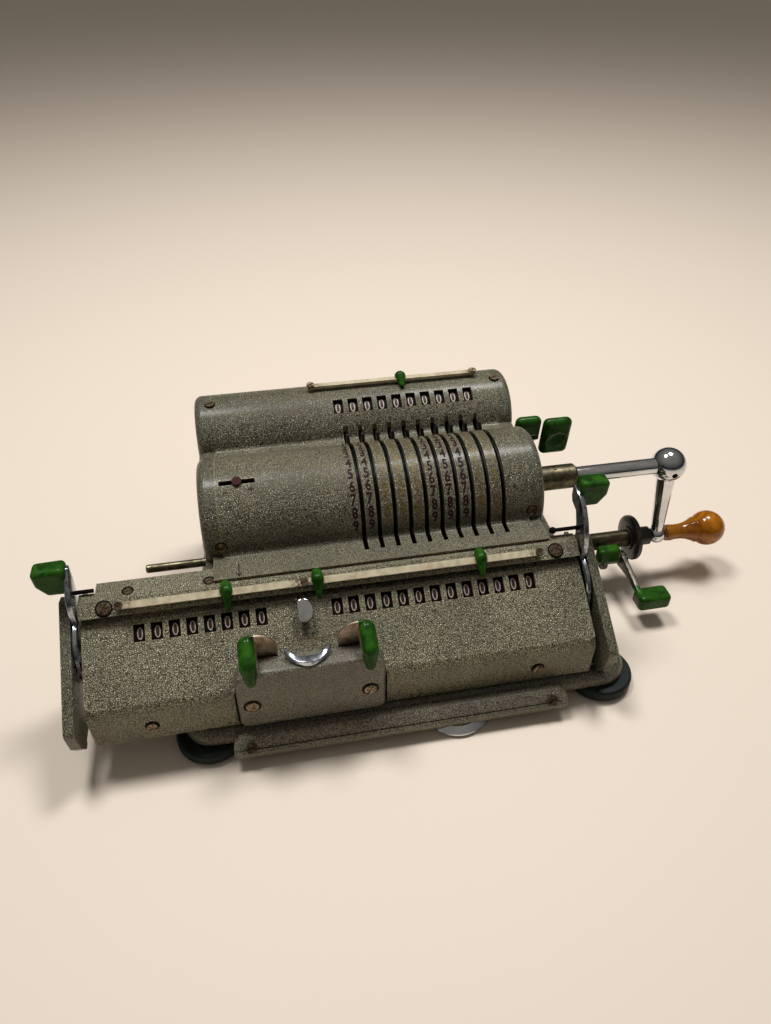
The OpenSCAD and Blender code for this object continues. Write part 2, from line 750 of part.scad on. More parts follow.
module carriage_screws() placed() color(screw_brown) {
    s = carriage_shift;
    bar_mid = bar_w / 2;
    low = [bar_top_y - bar_mid * cos(slope), top_plate_z - bar_mid * sin(slope)];
    for (x = [carriage_x0 + 11.5, carriage_x1 - 12]) translate([x, low[0], low[1]]) rotate([slope, 0, 0]) screw_head(3.4, 1.4, 60);
    for (x = plate_screw_x) translate([x + s, plate_screw_y, top_plate_z - plate_screw_h]) screw_head(2.2, plate_screw_h);
    for (x = [carriage_x0 + 27, carriage_x1 - 28.5]) {
        translate([x, front_face_y - 0.54, 26]) rotate([90, 0, 0]) screw_head(2.8, 1.1, 70);
    }
    for (x = [block_x0 + 6.1, block_x0 + block_w - 6.9]) {
        translate([x + s, block_front, block_z0 + 15.4]) rotate([90, 0, 0]) screw_head(3.4, 0.8, 65);
    }
    translate([s, rail_yz[0], rail_yz[1]]) rotate([slope, 0, 0]) {
        for (x = rail_ends) translate([x, 0, rail_lift + rail_t]) screw_head(2.2, 0.9);
    }
    on_slope(knob_x - 3.6, 0.8, 0) cylinder(h = 4, r = 0.8);
}

module carriage_marker_rails() placed() color(ivory) {
    translate([carriage_shift, rail_yz[0], rail_yz[1]]) rotate([slope, 0, 0]) {
        for (x = [[rail_ends[0] - 1.6, rail_ends[1] - 0.1], [rail_ends[1] + 0.1, rail_ends[2] + 1.6]]) {
            translate([x[0], -rail_w / 2, rail_lift]) cube([x[1] - x[0], rail_w, rail_t]);
        }
        for (x = rail_ends) translate([x, 0, 0]) {
            difference() {
                cylinder(h = rail_lift, r = 1.6);
                if (x == rail_ends[1]) translate([-0.1, -2, -1]) cube([0.2, 4, 4]);
            }
        }
    }
}

module dial_shaft() placed() color(steel) {
    rod_x(carriage_x0 - lever_gap - cheek_t, carriage_x1 + lever_gap + cheek_t, dial_yz, dial_shaft_r);
}

module dial_row(x0, count) {
    for (k = [0:count - 1]) translate([x0 + pitch * k + carriage_shift, dial_yz[0], dial_yz[1]]) {
        difference() {
            dial(dial_r, dial_w, dial_gear_r);
            rod_x(-dial_w, dial_w, [0, 0], dial_shaft_r + run_fit);
        }
    }
}

module counter_dials() placed() color(black) dial_row(counter_x0, counter_count);

module result_dials() placed() color(black) dial_row(result_x0, result_count);

// A clearing lever: a hub in the gap beside the cover and a bent arm up to its grip
module clearing_lever(x, inward) {
    top = dial_yz[1] + lever_reach;
    pin_yz = [-5.4, ledge_z + 2.2];
    difference() {
        along_x(x - lever_t / 2, x + lever_t / 2) {
            translate(dial_yz) circle(17.5, $fn = 72);
            polygon([[-17, 62], [-12.6, 68], [-8, 76], [-5.6, 83], [-6.4, top], [-0.4, top], [0.6, 82], [-1.4, 73], [-5, 64], [-6, 55]]);
        }
        rod_x(x - lever_t, x + lever_t, dial_yz, dial_shaft_r + run_fit);
    }
    x_in = x + inward * (lever_t / 2 + 12);
    rod_x(min(x, x_in), max(x, x_in), pin_yz, 1);
    translate([x_in, pin_yz[0], pin_yz[1]]) sphere(1.8, $fn = small_fn);
}

module left_clearing_lever() placed() color(chrome) clearing_lever(left_lever_x, 1);

module right_clearing_lever() placed() color(chrome) clearing_lever(right_lever_x, -1);

// A grip moulded on the outer side of a lever, wider at its top
module lever_grip() {
    r = 3;
    y = -4.2;
    top = dial_yz[1] + lever_reach;
    w = lever_grip_w;
    intersection() {
        hull() {
            for (p = [[r, 0], [w - r, 0.6]]) translate([p[0] - 2, y + p[1], top - 1.6]) sphere(r, $fn = small_fn);
            for (p = [[r, 0], [w - r - 2.4, 0.4]]) translate([p[0] - 2, y - 0.8 + p[1], top - 15]) sphere(r, $fn = small_fn);
            translate([w - r, y + 0.6, top - 2.2]) sphere(r, $fn = small_fn);
        }
        translate([0, -30, top - 30]) cube([w, 60, 60]);
    }
}

module left_lever_grip() placed() color(green) translate([left_lever_x - lever_t / 2, 0, 0]) mirror([1, 0, 0]) lever_grip();

module right_lever_grip() placed() color(green) translate([right_lever_x + lever_t / 2, 0, 0]) lever_grip();

// A decimal marker that straddles its rail; the tip points down to the windows
module marker_body(reach) {
    difference() {
        hull() {
            translate([0, 3.6, 1.6]) sphere(2.6, $fn = small_fn);
            translate([0, 0.6, 3]) sphere(3.2, $fn = small_fn);
            translate([0, -reach, 0.8]) sphere(1.3, $fn = small_fn);
        }
        translate([-6, -rail_w / 2 - slide_gap, -2]) cube([12, rail_w + 2 * slide_gap, 2 + rail_lift + rail_t + slide_gap]);
        translate([-6, -12, -6]) cube([12, 24, 6 + 0.3]);
    }
}

module slope_marker(x) placed() color(green) {
    translate([x + carriage_shift, rail_yz[0], rail_yz[1]]) rotate([slope, 0, 0]) marker_body(7.4);
}

module counter_marker() slope_marker(-105);

module result_marker_left() slope_marker(-62.3);

module result_marker_right() slope_marker(17.5);

module register_marker() placed() color(green) {
    translate([-1.6, top_rail_yz[0], top_rail_yz[1] - 1.2]) marker_body(5.5);
}

// Shift block

module shift_block() placed() color(enamel) translate([carriage_shift, 0, 0]) {
    x0 = block_x0;
    x1 = block_x0 + block_w;
    corner = 5;
    difference() {
        union() {
            intersection() {
                block(x0, x1, block_front, front_face_y - 1, block_z0, block_z1);
                translate([0, front_face_y, 0]) rotate([90, 0, 0]) linear_extrude(10) {
                    translate([x0 + corner, block_z0]) square([block_w - 2 * corner, block_h]);
                    translate([x0, block_z0 + corner]) square([block_w, block_h - 2 * corner]);
                    for (x = [x0 + corner, x1 - corner], z = [block_z0 + corner, block_z1 - corner]) {
                        translate([x, z]) circle(corner);
                    }
                }
            }
            along_x(x0 + corner, x1 - corner) polygon([
                [front_face_y - 1, crease_z + 2], [front_face_y - 1, block_z1], [block_back, block_z1], [block_back, block_z1 - 7.5]
            ]);
            for (x = [wing_x0, wing_x1]) translate([x, block_back, wing_z]) rotate([-90, 0, 0]) cylinder(h = 4.4, r = 1.5);
        }
        along_x(x0 + corner + block_t, x1 - corner - block_t) polygon([
            [block_front + block_t, crease_z + 4], [block_front + block_t, block_z1 - block_t],
            [block_back - block_t, block_z1 - block_t], [block_back - block_t, crease_z + 12]
        ]);
        block(trigger_x - 12, trigger_x + 12, block_front + block_t + 0.4, block_back + 1, block_z1 - 4.6, block_z1 + 1);
        for (x = [wing_x0 - 11.6, wing_x1 + 3.4]) {
            block(x, x + 8.2, block_front - 1, block_back + 1, block_z1 - 8, block_z1 + 1);
        }
        translate([trigger_x, trigger_y, crease_z]) cylinder(h = block_h, r = trigger_stem_r + run_fit);
    }
    difference() {
        block(trigger_x - 4, trigger_x + 4, block_front + 1, block_front + 8, crease_z + 6, crease_z + 10);
        translate([trigger_x, trigger_y, crease_z]) cylinder(h = 20, r = trigger_stem_r + run_fit);
    }
}

trigger_x = -70.7;
trigger_y = block_front + 5.2;
trigger_stem_r = 1.5;
wing_x0 = -91;
wing_x1 = -50.5;
wing_z = block_z1 - 3.4;

// A thumb wing: a steel plate on its pin and a green pad at its outer edge
module shift_wing(side) {
    y = block_back + 0.4;
    difference() {
        translate([0, y + 1.6, 0]) rotate([90, 0, 0]) linear_extrude(1.6) {
            polygon(concat(
                [[-side * 6.5, -2.6], [-side * 6.5, 6]],
                [for (a = [180:-15:90]) [side * (6.5 * cos(a)), 6 + 5.4 * sin(a)]],
                [[side * 5.6, 11.4], [side * 5.6, -2.6]]
            ));
        }
        translate([0, y - 1, 0]) rotate([-90, 0, 0]) cylinder(h = 4, r = 1.5 + run_fit);
    }
    hull() {
        translate([side * 7.4, y - 8.6, -1.6]) sphere(1.8, $fn = small_fn);
        translate([side * 7.6, y - 6.4, 7.4]) sphere(3, $fn = small_fn);
        translate([side * 7.6, y + 2.6, wing_h - 10]) sphere(3, $fn = small_fn);
        translate([side * 7.4, y - 0.6, 4.4]) sphere(2.2, $fn = small_fn);
    }
}

module left_shift_wing() placed() color(green) translate([wing_x0 + carriage_shift, 0, wing_z]) shift_wing(-1);

module right_shift_wing() placed() color(green) translate([wing_x1 + carriage_shift, 0, wing_z]) shift_wing(1);

// A crescent finger piece on a stem
module release_trigger() placed() color(chrome) translate([trigger_x + carriage_shift, trigger_y, 0]) {
    bow_r = 10.4;
    translate([0, bow_r - 2.6, block_z1 - 0.6]) difference() {
        cylinder(h = 5, r = bow_r, $fn = 72);
        translate([0, 0, -1]) cylinder(h = 8, r = bow_r - 1.6, $fn = 72);
        translate([-bow_r - 1, -2.3, -1]) cube([2 * bow_r + 2, 2 * bow_r, 8]);
    }
    translate([-4, -1.2, block_z1 - 0.6]) cube([8, 3.4, 1.6]);
    translate([0, 0, crease_z + 6.2]) cylinder(h = block_z1 - crease_z - 6.6, r = trigger_stem_r);
}

module carry_knob() placed() color(chrome) {
    on_slope(knob_x, knob_down, -sheet_t - 1) cylinder(h = sheet_t + 5, r = knob_stem_r);
    on_slope(knob_x, knob_down, 3.6) linear_extrude(3) intersection() {
        circle(5.6);
        translate([-3.4, -6]) square([12, 12]);
    }
}

module sign_pointer() placed() color([0.45, 0.05, 0.04]) {
    radial(sign_x, [drum_y, drum_z], sign_angle, drum_cover_r - 3) cylinder(h = 3.6, r = 1);
    radial(sign_x, [drum_y, drum_z], sign_angle, drum_cover_r + 0.3) cylinder(h = 1, r = 2.4, $fn = 32);
}

// Levers beside the housing

zero_yz = [86, 70];
zero_pin_r = 2.5;

module zeroing_lever() placed() {
    x = housing_x1;
    color(steel) {
        rod_x(x - 4.5, x + 16, zero_yz, zero_pin_r);
        along_x(x + 13, x + 16) {
            translate(zero_yz) circle(5);
            polygon([[83, 66], [66.6, 82], [65.4, 94], [69.8, 95], [71.4, 87], [89.5, 74]]);
        }
    }
    color(green) for (g = [[x + 1, 13, 93, 5], [x + 15, 18, 83, 8.6]]) hull() {
        for (dx = [2.6, g[1] - 2.6], dz = [-g[3], g[3]]) {
            translate([g[0] + dx, 67.5 - dz * 0.15, g[2] + dz * 0.75]) sphere(2.6, $fn = small_fn);
        }
    }
}

// A pressed lever with a front and a rear arm on one shaft
module front_base_lever() placed() {
    y = lever_shaft_yz[0];
    z = lever_shaft_yz[1];
    color(steel) difference() {
        union() {
            along_x(115.5, 118.5) {
                translate(lever_shaft_yz) circle(lever_hub_r);
                polygon([[y, z + 4.8], [y - 14, z + 1.7], [y - 26, z - 1.3], [y - 26, z - 5.2], [y - 14, z - 2.8], [y - 2, z - 4.6]]);
            }
            along_x(104, 107) {
                translate(lever_shaft_yz) circle(lever_hub_r);
                polygon([[y - 4.6, z], [y - 6.4, z + 8.2], [y - 2, z + 9.2], [y + 4.6, z + 1.2]]);
            }
        }
        rod_x(100, 125, lever_shaft_yz, lever_shaft_r + run_fit);
    }
    color(green) {
        hull() for (x = [117.4, 131], y = [-9, -3], z = [12.6, 17]) translate([x, y, z]) sphere(2.6, $fn = small_fn);
        hull() for (x = [100.6, 109.6], y = [15.6, 18.6], z = [28, 33.4]) translate([x, y, z]) sphere(2, $fn = small_fn);
    }
}

base_casting();
rubber_feet();
front_rail_cover();
front_rail();
back_rail();
left_side_frame();
right_side_frame();
housing_cover();
housing_screws();
crank_bearing();
guide_rod();
register_marker_rail();
rest_tube();
rest_disc();
bell();
lever_shaft();
register_shaft();
register_dials();
transfer_shaft();
transfer_gears();
main_shaft();
pinwheel_drum();
crank_arm();
crank_grip();
for (k = [1:lever_count]) setting_ring(k);
carriage_frame();
carriage_cover();
carriage_top_plate();
left_cheek();
right_cheek();
carriage_screws();
carriage_marker_rails();
dial_shaft();
counter_dials();
result_dials();
left_clearing_lever();
left_lever_grip();
right_clearing_lever();
right_lever_grip();
counter_marker();
result_marker_left();
result_marker_right();
register_marker();
shift_block();
left_shift_wing();
right_shift_wing();
release_trigger();
carry_knob();
sign_pointer();
zeroing_lever();
front_base_lever();
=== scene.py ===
from math import cos, hypot, pi, radians, sin, tan

import bmesh
import bpy
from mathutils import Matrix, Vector


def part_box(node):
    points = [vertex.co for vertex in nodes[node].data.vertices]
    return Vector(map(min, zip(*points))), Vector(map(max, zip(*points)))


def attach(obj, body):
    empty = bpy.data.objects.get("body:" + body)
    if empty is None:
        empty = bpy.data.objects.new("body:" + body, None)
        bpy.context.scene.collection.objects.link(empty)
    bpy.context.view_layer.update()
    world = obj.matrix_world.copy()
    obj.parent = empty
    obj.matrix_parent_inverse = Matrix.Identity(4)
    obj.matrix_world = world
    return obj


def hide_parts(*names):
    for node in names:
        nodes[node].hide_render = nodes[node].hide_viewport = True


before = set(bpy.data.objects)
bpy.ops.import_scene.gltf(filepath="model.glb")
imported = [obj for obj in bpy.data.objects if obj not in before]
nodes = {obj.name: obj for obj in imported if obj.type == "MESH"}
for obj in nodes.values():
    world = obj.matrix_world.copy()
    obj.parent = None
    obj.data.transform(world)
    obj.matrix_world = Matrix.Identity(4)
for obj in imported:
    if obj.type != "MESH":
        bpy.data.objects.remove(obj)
scene = bpy.context.scene
showObject = scene.collection.objects.link
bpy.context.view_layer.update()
mm = 0.001

# The drawing's own zero: the middle of the ten slots, at the front of the housing
zeroFrom = {"leftFrame": 114.5, "coverBack": 112.5}
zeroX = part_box("left_side_frame")[0].x + zeroFrom["leftFrame"] * mm
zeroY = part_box("housing_cover")[1].y - zeroFrom["coverBack"] * mm
zero = Vector((zeroX, zeroY, 0))


def at(x, y, z):
    return zero + Vector((x, y, z)) * mm


def across(degrees):
    # A direction square to X, turned from Y towards Z
    turn = radians(degrees)
    return (0, cos(turn), sin(turn))


# Lengths that several pieces share, in millimetres and degrees; axes along X are given as (y, z)
machine = {
    "pitch": 8.0, "slotX": -36.0, "windowShift": -2.3, "slotEdge": 1.2, "housingRight": 58.5,
    "drum": (38.0, 73.6), "drumR": 30.0, "hump": (89.5, 88.5), "humpR": 23.0, "coverSheet": 1.5,
    "dialAxis": (-14.2566, 46.8138), "dialR": 12.0, "slope": 34.7, "slopeTop": (-17.3, 62.1),
    "ledgeZ": 72.5, "plateZ": 70.9, "plateFront": -11.1,
}
drumAxis = machine["drum"]
along = (1, 0, 0)
up = (0, 0, 1)
front = (0, -1, 0)
slope = radians(machine["slope"])
slopeUp = (0, -sin(slope), cos(slope))

# Camera: the photograph's place and angle
camera = {
    "place": (-79.0, -279.3, 324.6), "yaw": 10.58, "pitch": 39.0,
    "focalPixels": 770, "framePixels": 1024,
}
cameraData = bpy.data.cameras.new("photo_camera")
cameraData.sensor_fit = "VERTICAL"
cameraData.sensor_height = 36
cameraData.lens = cameraData.sensor_height * camera["focalPixels"] / camera["framePixels"]
cameraData.clip_start = 0.01
cameraObject = bpy.data.objects.new("photo_camera", cameraData)
cameraObject.location = at(*camera["place"])
cameraObject.rotation_euler = (radians(90 - camera["pitch"]), 0, radians(-camera["yaw"]))
showObject(cameraObject)
scene.camera = cameraObject
print("camera placed")


# Materials

def srgb(code):
    channels = [int(code[i:i + 2], 16) / 255 for i in (1, 3, 5)]
    return tuple(c / 12.92 if c <= 0.04045 else ((c + 0.055) / 1.055) ** 2.4 for c in channels) + (1.0,)


def addNode(tree, kind, settings=None, links=None):
    node = tree.nodes.new(kind)
    for name, value in (settings or {}).items():
        if isinstance(name, int) or name in node.inputs:
            node.inputs[name].default_value = value
        else:
            setattr(node, name, value)
    for name, socket in (links or {}).items():
        tree.links.new(socket, node.inputs[name])
    return node


def newMaterial(name, settings):
    material = bpy.data.materials.new(name)
    material.use_nodes = True
    tree = material.node_tree
    tree.nodes.clear()
    shader = addNode(tree, "ShaderNodeBsdfPrincipled", settings)
    addNode(tree, "ShaderNodeOutputMaterial", links={"Surface": shader.outputs[0]})
    place = addNode(tree, "ShaderNodeTexCoord").outputs["Object"]
    return material, tree, shader, place


def patches(tree, place, sizeMm, low, high, share=1.0, detail=3.0, twist=0.0):
    # Irregular spots of one size: 0 outside, up to the share inside
    grain = addNode(
        tree, "ShaderNodeTexNoise",
        {"Scale": 1 / (sizeMm * mm), "Detail": detail, "Distortion": twist}, {"Vector": place},
    ).outputs["Fac"]
    limits = {"From Min": low, "From Max": high, "To Max": share}
    return addNode(tree, "ShaderNodeMapRange", limits, {"Value": grain}).outputs[0]


def wornEdges(tree, place, radiusMm, sizeMm, share):
    # Bright along edges, where a rounded normal leans away from the true one, and broken up in spots
    soft = addNode(tree, "ShaderNodeBevel", {"samples": 6, "Radius": radiusMm * mm}).outputs[0]
    flat = addNode(tree, "ShaderNodeNewGeometry").outputs["Normal"]
    lean = addNode(tree, "ShaderNodeVectorMath", {"operation": "DOT_PRODUCT"}, {0: soft, 1: flat})
    limits = {"From Min": 0.985, "From Max": 0.86}
    edge = addNode(tree, "ShaderNodeMapRange", limits, {"Value": lean.outputs["Value"]}).outputs[0]
    spots = patches(tree, place, sizeMm, 0.38, 0.58, share)
    return addNode(tree, "ShaderNodeMath", {"operation": "MULTIPLY"}, {0: edge, 1: spots}).outputs[0]


def crevices(tree, reachMm, share):
    # Painted shade in slots and along joints: darker where an occlusion test finds that little light gets in
    reach = {"samples": 8, "Distance": reachMm * mm}
    openness = addNode(tree, "ShaderNodeAmbientOcclusion", reach).outputs["AO"]
    limits = {"From Min": 0.75, "From Max": 0.35, "To Max": share}
    return addNode(tree, "ShaderNodeMapRange", limits, {"Value": openness}).outputs[0]


def paint(tree, shader, base, layers):
    # One colour over the other, each through its own mask
    below = None
    for code, mask in layers:
        layer = addNode(tree, "ShaderNodeMix", {"data_type": "RGBA", 6: srgb(base), 7: srgb(code)}, {0: mask})
        if below:
            tree.links.new(below, layer.inputs[6])
        below = layer.outputs[2]
    tree.links.new(below, shader.inputs["Base Color"])


def surface(tree, shader, mask, smooth, rough, height, strength, depthMm):
    # Roughness between two values through a mask, and relief from a height
    limits = {"To Min": smooth, "To Max": rough}
    level = addNode(tree, "ShaderNodeMapRange", limits, {"Value": mask}).outputs[0]
    tree.links.new(level, shader.inputs["Roughness"])
    depth = {"Strength": strength, "Distance": depthMm * mm}
    relief = addNode(tree, "ShaderNodeBump", depth, {"Height": height})
    tree.links.new(relief.outputs[0], shader.inputs["Normal"])


# Hammertone enamel: aluminium flake lacquer that dries in light grains with dark valleys
lacquer = {
    "grainMm": 0.82, "shadeMm": 0.8, "flakeMm": 0.5, "stainMm": 2.6, "cloudMm": 36,
    "edgeMm": 0.9, "rubbedMm": 3.5, "occlusionShadeMm": 1.6, "reliefMm": 0.26,
}


def hammerEnamel(name, dark, light, worn, wornShare, flake=0.75):
    gloss = {"Metallic": 0.25, "Coat Weight": 0.25, "Coat Roughness": 0.22}
    material, tree, shader, place = newMaterial(name, gloss)
    cells = addNode(
        tree, "ShaderNodeTexVoronoi",
        {"feature": "DISTANCE_TO_EDGE", "Scale": 1 / (lacquer["grainMm"] * mm)}, {"Vector": place},
    ).outputs[0]
    limits = {"From Min": 0.02, "From Max": 0.3}
    domes = addNode(tree, "ShaderNodeMapRange", limits, {"Value": cells}).outputs[0]
    shade = patches(tree, place, lacquer["shadeMm"], 0.3, 0.62, 1.0, 2.0, 0.3)
    grains = addNode(tree, "ShaderNodeMath", {"operation": "MULTIPLY"}, {0: domes, 1: shade}).outputs[0]
    paint(tree, shader, dark, [
        (light, grains),
        ("#d9d2b4", patches(tree, place, lacquer["flakeMm"], 0.6, 0.7, flake * 0.7, 1.0)),
        ("#6b5a3c", patches(tree, place, lacquer["stainMm"], 0.52, 0.7, 0.4)),
        (dark, patches(tree, place, lacquer["cloudMm"], 0.38, 0.66, 0.3)),
        (worn, wornEdges(tree, place, lacquer["edgeMm"], lacquer["rubbedMm"], wornShare)),
        # Painted shade in slots and joints, from the occlusion mask
        ("#15130c", crevices(tree, lacquer["occlusionShadeMm"], 0.75)),
    ])
    surface(tree, shader, grains, 0.45, 0.22, grains, 0.9, lacquer["reliefMm"])
    return material


# Moulded thermoset plastic, polished: deep colour, sharp highlights, faint flow marks
def mouldedPlastic(name, dark, light, flowMm, smooth, settings=None):
    gloss = {"Specular IOR Level": 0.35, "Coat Weight": 0.2, "Coat Roughness": 0.06, **(settings or {})}
    material, tree, shader, place = newMaterial(name, gloss)
    paint(tree, shader, dark, [(light, patches(tree, place, flowMm, 0.36, 0.66, 1.0, 3.0, 0.8))])
    smears = patches(tree, place, 1.2, 0.4, 0.7)
    waves = patches(tree, place, 2.6, 0.3, 0.7)
    surface(tree, shader, smears, smooth, smooth + 0.14, waves, 0.1, 0.06)
    return material


# Plated or bare metal, dulled in clouds, with stains in spots
def plainMetal(name, light, dark, smooth, cloudMm, stain, stainShare):
    material, tree, shader, place = newMaterial(name, {"Metallic": 1.0})
    cloud = patches(tree, place, cloudMm, 0.36, 0.66)
    paint(tree, shader, light, [(dark, cloud), (stain, patches(tree, place, 2.2, 0.5, 0.64, stainShare))])
    surface(tree, shader, cloud, smooth, smooth + 0.12, patches(tree, place, 0.5, 0.3, 0.7), 0.05, 0.03)
    return material


# Browned steel screw heads with rubbed rims, and painted shade in their slots
def brownedSteel(name):
    material, tree, shader, place = newMaterial(name, {"Metallic": 0.9})
    rust = patches(tree, place, 1.4, 0.42, 0.62)
    paint(tree, shader, "#8a7a66", [
        ("#3b2a1c", rust),
        ("#b09a74", wornEdges(tree, place, 0.3, 1.2, 0.7)),
        # Painted shade in the slots and round the heads' foot
        ("#0d0906", crevices(tree, 0.7, 1.0)),
    ])
    surface(tree, shader, rust, 0.26, 0.45, rust, 0.15, 0.05)
    return material


# Cream lacquer on a steel strip, yellowed and grimy near its fastenings
def creamStrip(name, ends):
    gloss = {"Metallic": 0.1, "Coat Weight": 0.3, "Coat Roughness": 0.2}
    material, tree, shader, place = newMaterial(name, gloss)
    age = patches(tree, place, 4.5, 0.38, 0.66)
    x = addNode(tree, "ShaderNodeSeparateXYZ", links={0: place}).outputs[0]
    layers = [("#b8a888", age)]
    for end in ends:
        away = addNode(tree, "ShaderNodeMath", {"operation": "SUBTRACT", 1: end}, {0: x}).outputs[0]
        near = addNode(tree, "ShaderNodeMath", {"operation": "ABSOLUTE"}, {0: away}).outputs[0]
        limits = {"From Min": 10 * mm, "From Max": 2 * mm}
        grime = addNode(tree, "ShaderNodeMapRange", limits, {"Value": near}).outputs[0]
        spots = patches(tree, place, 1.6, 0.38, 0.56)
        dirt = addNode(tree, "ShaderNodeMath", {"operation": "MULTIPLY"}, {0: grime, 1: spots}).outputs[0]
        layers.append(("#55381c", dirt))
    layers.append(("#6b5a3c", wornEdges(tree, place, 0.5, 2.5, 0.6)))
    paint(tree, shader, "#ddd1b2", layers)
    surface(tree, shader, age, 0.28, 0.45, patches(tree, place, 0.9, 0.3, 0.7), 0.08, 0.05)
    return material


# Matt surface in two shades: rubber, dial lacquer, paint in engraved marks
def mattCoat(name, dark, light, rough, grainMm, settings=None):
    material, tree, shader, place = newMaterial(name, settings or {})
    wear = patches(tree, place, grainMm, 0.38, 0.66)
    paint(tree, shader, dark, [(light, wear)])
    surface(tree, shader, wear, rough, rough + 0.15, wear, 0.1, 0.04)
    return material


# Grey-green hammertone of the cover
enamel = hammerEnamel("hammertone_enamel", "#1f1e15", "#c2bc98", "#a5966a", 0.6)
# The same lacquer on the carriage, painted lighter and more yellow to stand for the stronger light on its
# slope: a lit copy of the cover's enamel
enamelCarriageLit = hammerEnamel("hammertone_enamel_carriage_lit", "#2b281a", "#e9e1ba", "#b3a270", 0.6)
# The same lacquer on the castings and cheeks, a little greener and more rubbed
enamelDark = hammerEnamel("hammertone_enamel_frame", "#26271d", "#a7a384", "#a08e5e", 0.7)
# The shift block and the rail cover, browner and smoother from handling
enamelBlock = hammerEnamel("hammertone_enamel_block", "#46433a", "#cfc7ac", "#c2b07c", 0.9, 0.5)
# Bright chrome of the crank, the bell and the knob
chrome = plainMetal("chrome_plate", "#e2e3e6", "#c6c9ce", 0.05, 12, "#9a948a", 0.15)
# Chrome of the clearing levers and the trigger, dulled and stained
chromeWorn = plainMetal("chrome_plate_worn", "#c9ced6", "#8b929c", 0.14, 6, "#3b3630", 0.55)
# Ground steel of rails and shafts
groundSteel = plainMetal("ground_steel", "#a9a79f", "#7c7a72", 0.28, 6, "#55503f", 0.3)
# Dull grey bronze of the crank bearing, the rest tube and the guide rod
shaftBronze = plainMetal("dull_grey_bronze", "#7a735b", "#4d483a", 0.34, 6, "#38301f", 0.5)
# Blackened steel of the setting rings
ringSteel = plainMetal("blackened_steel", "#2b2826", "#171514", 0.45, 5, "#0d0c0b", 0.3)
# Cut brass of the transfer gears
gearBrass = plainMetal("cut_brass", "#b08d4f", "#8a6a36", 0.3, 4, "#5a4522", 0.3)
# Browned screws
screwBrown = brownedSteel("browned_screw_steel")
# Satin steel plates of the thumb wings, with a brown bloom
steelPlate = plainMetal("satin_steel_plate", "#cdbdab", "#9c8977", 0.42, 5, "#7a5f48", 0.5)
# Dull steel of the lever arms
armSteel = plainMetal("dull_lever_steel", "#6d6a62", "#4a4740", 0.35, 5, "#3b2f20", 0.4)
# Deep green plastic of all grips
dullGloss = {"Specular IOR Level": 0.12, "Coat Weight": 0.08}
greenPlastic = mouldedPlastic("green_moulded_plastic", "#17380a", "#2c5c14", 5.0, 0.2, dullGloss)
# Amber plastic of the crank grip
clear = {"Transmission Weight": 0.2}
amberPlastic = mouldedPlastic("amber_moulded_plastic", "#8a4a05", "#c47a0c", 9.0, 0.08, clear)
# Brown-black disc on the rest tube
discPlastic = mouldedPlastic("black_moulded_disc", "#1c1814", "#332c24", 4.0, 0.3)
# Rubber feet
rubber = mattCoat("foot_rubber", "#0d1613", "#1c2a24", 0.5, 3.0, {"Specular IOR Level": 0.25})
# Black lacquer of the dials
dialBlack = mattCoat("dial_black_lacquer", "#0a0807", "#15100d", 0.6, 0.6, {"Specular IOR Level": 0.2})
# Pale paint in the figures of the dials, also used for the painted glints beside the slots
figurePale = mattCoat("figure_paint_pale", "#b5a596", "#e2d6c8", 0.5, 0.5)
# Brown dirt inside the noughts
figureBrown = mattCoat("figure_brown_dirt", "#2c150c", "#4a2516", 0.5, 0.5)
# Gilt paint in the lighter setting figures and marks
figureGilt = mattCoat("figure_paint_gilt", "#453417", "#8d7846", 0.45, 0.5, {"Metallic": 0.3})
# Dark red paint in the other setting figures
figureRed = mattCoat("figure_paint_dark_red", "#1c0806", "#35120d", 0.6, 0.5, {"Specular IOR Level": 0.2})
# Dark red lacquer of the sign pointer
signRed = mattCoat("sign_red_lacquer", "#2a0a09", "#4a1210", 0.6, 0.8, {"Specular IOR Level": 0.2})
# Near-black: painted shade in the rings around sunk screws, in oil and pin holes, the rail cover's groove and
# the gap round the shift block, and the black of the clearing levers' pins
recessShadeAndBlackPins = mattCoat("recess_shade_and_black_pins", "#0a0806", "#15100b", 0.8, 0.8, {"Specular IOR Level": 0.1})
# Cream strip on the housing
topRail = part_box("register_marker_rail")
topRailCream = creamStrip("cream_strip_top", [topRail[0].x, topRail[1].x])
# Cream strips on the carriage, which meet under one fastening
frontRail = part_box("carriage_marker_rails")
railJointX = -68.6
frontRailCream = creamStrip("cream_strip_front", [frontRail[0].x, at(railJointX, 0, 0).x, frontRail[1].x])
print("materials made")

finishes = {
    enamel: ["housing_cover", "carriage_cover", "carriage_top_plate"],
    enamelDark: ["base_casting", "left_side_frame", "right_side_frame", "left_cheek", "right_cheek"],
    enamelBlock: ["shift_block", "front_rail_cover"],
    chrome: ["main_shaft", "crank_arm", "bell", "carry_knob", "release_trigger"],
    chromeWorn: ["left_clearing_lever", "right_clearing_lever"],
    groundSteel: [
        "front_rail", "back_rail", "lever_shaft", "register_shaft", "transfer_shaft", "dial_shaft",
        "carriage_frame", "pinwheel_drum",
    ],
    shaftBronze: ["crank_bearing", "rest_tube", "guide_rod"],
    ringSteel: ["setting_ring_%d" % k for k in range(1, 11)],
    gearBrass: ["transfer_gears"],
    screwBrown: ["housing_screws", "carriage_screws"],
    greenPlastic: [
        "left_lever_grip", "right_lever_grip", "counter_marker", "result_marker_left", "result_marker_right",
        "register_marker", "left_shift_wing", "right_shift_wing", "zeroing_lever", "front_base_lever",
    ],
    amberPlastic: ["crank_grip"],
    discPlastic: ["rest_disc"],
    rubber: ["rubber_feet"],
    dialBlack: ["counter_dials", "result_dials", "register_dials"],
    signRed: ["sign_pointer"],
    topRailCream: ["register_marker_rail"],
    frontRailCream: ["carriage_marker_rails"],
}
for material, names in finishes.items():
    for name in names:
        nodes[name].data.materials.clear()
        nodes[name].data.materials.append(material)
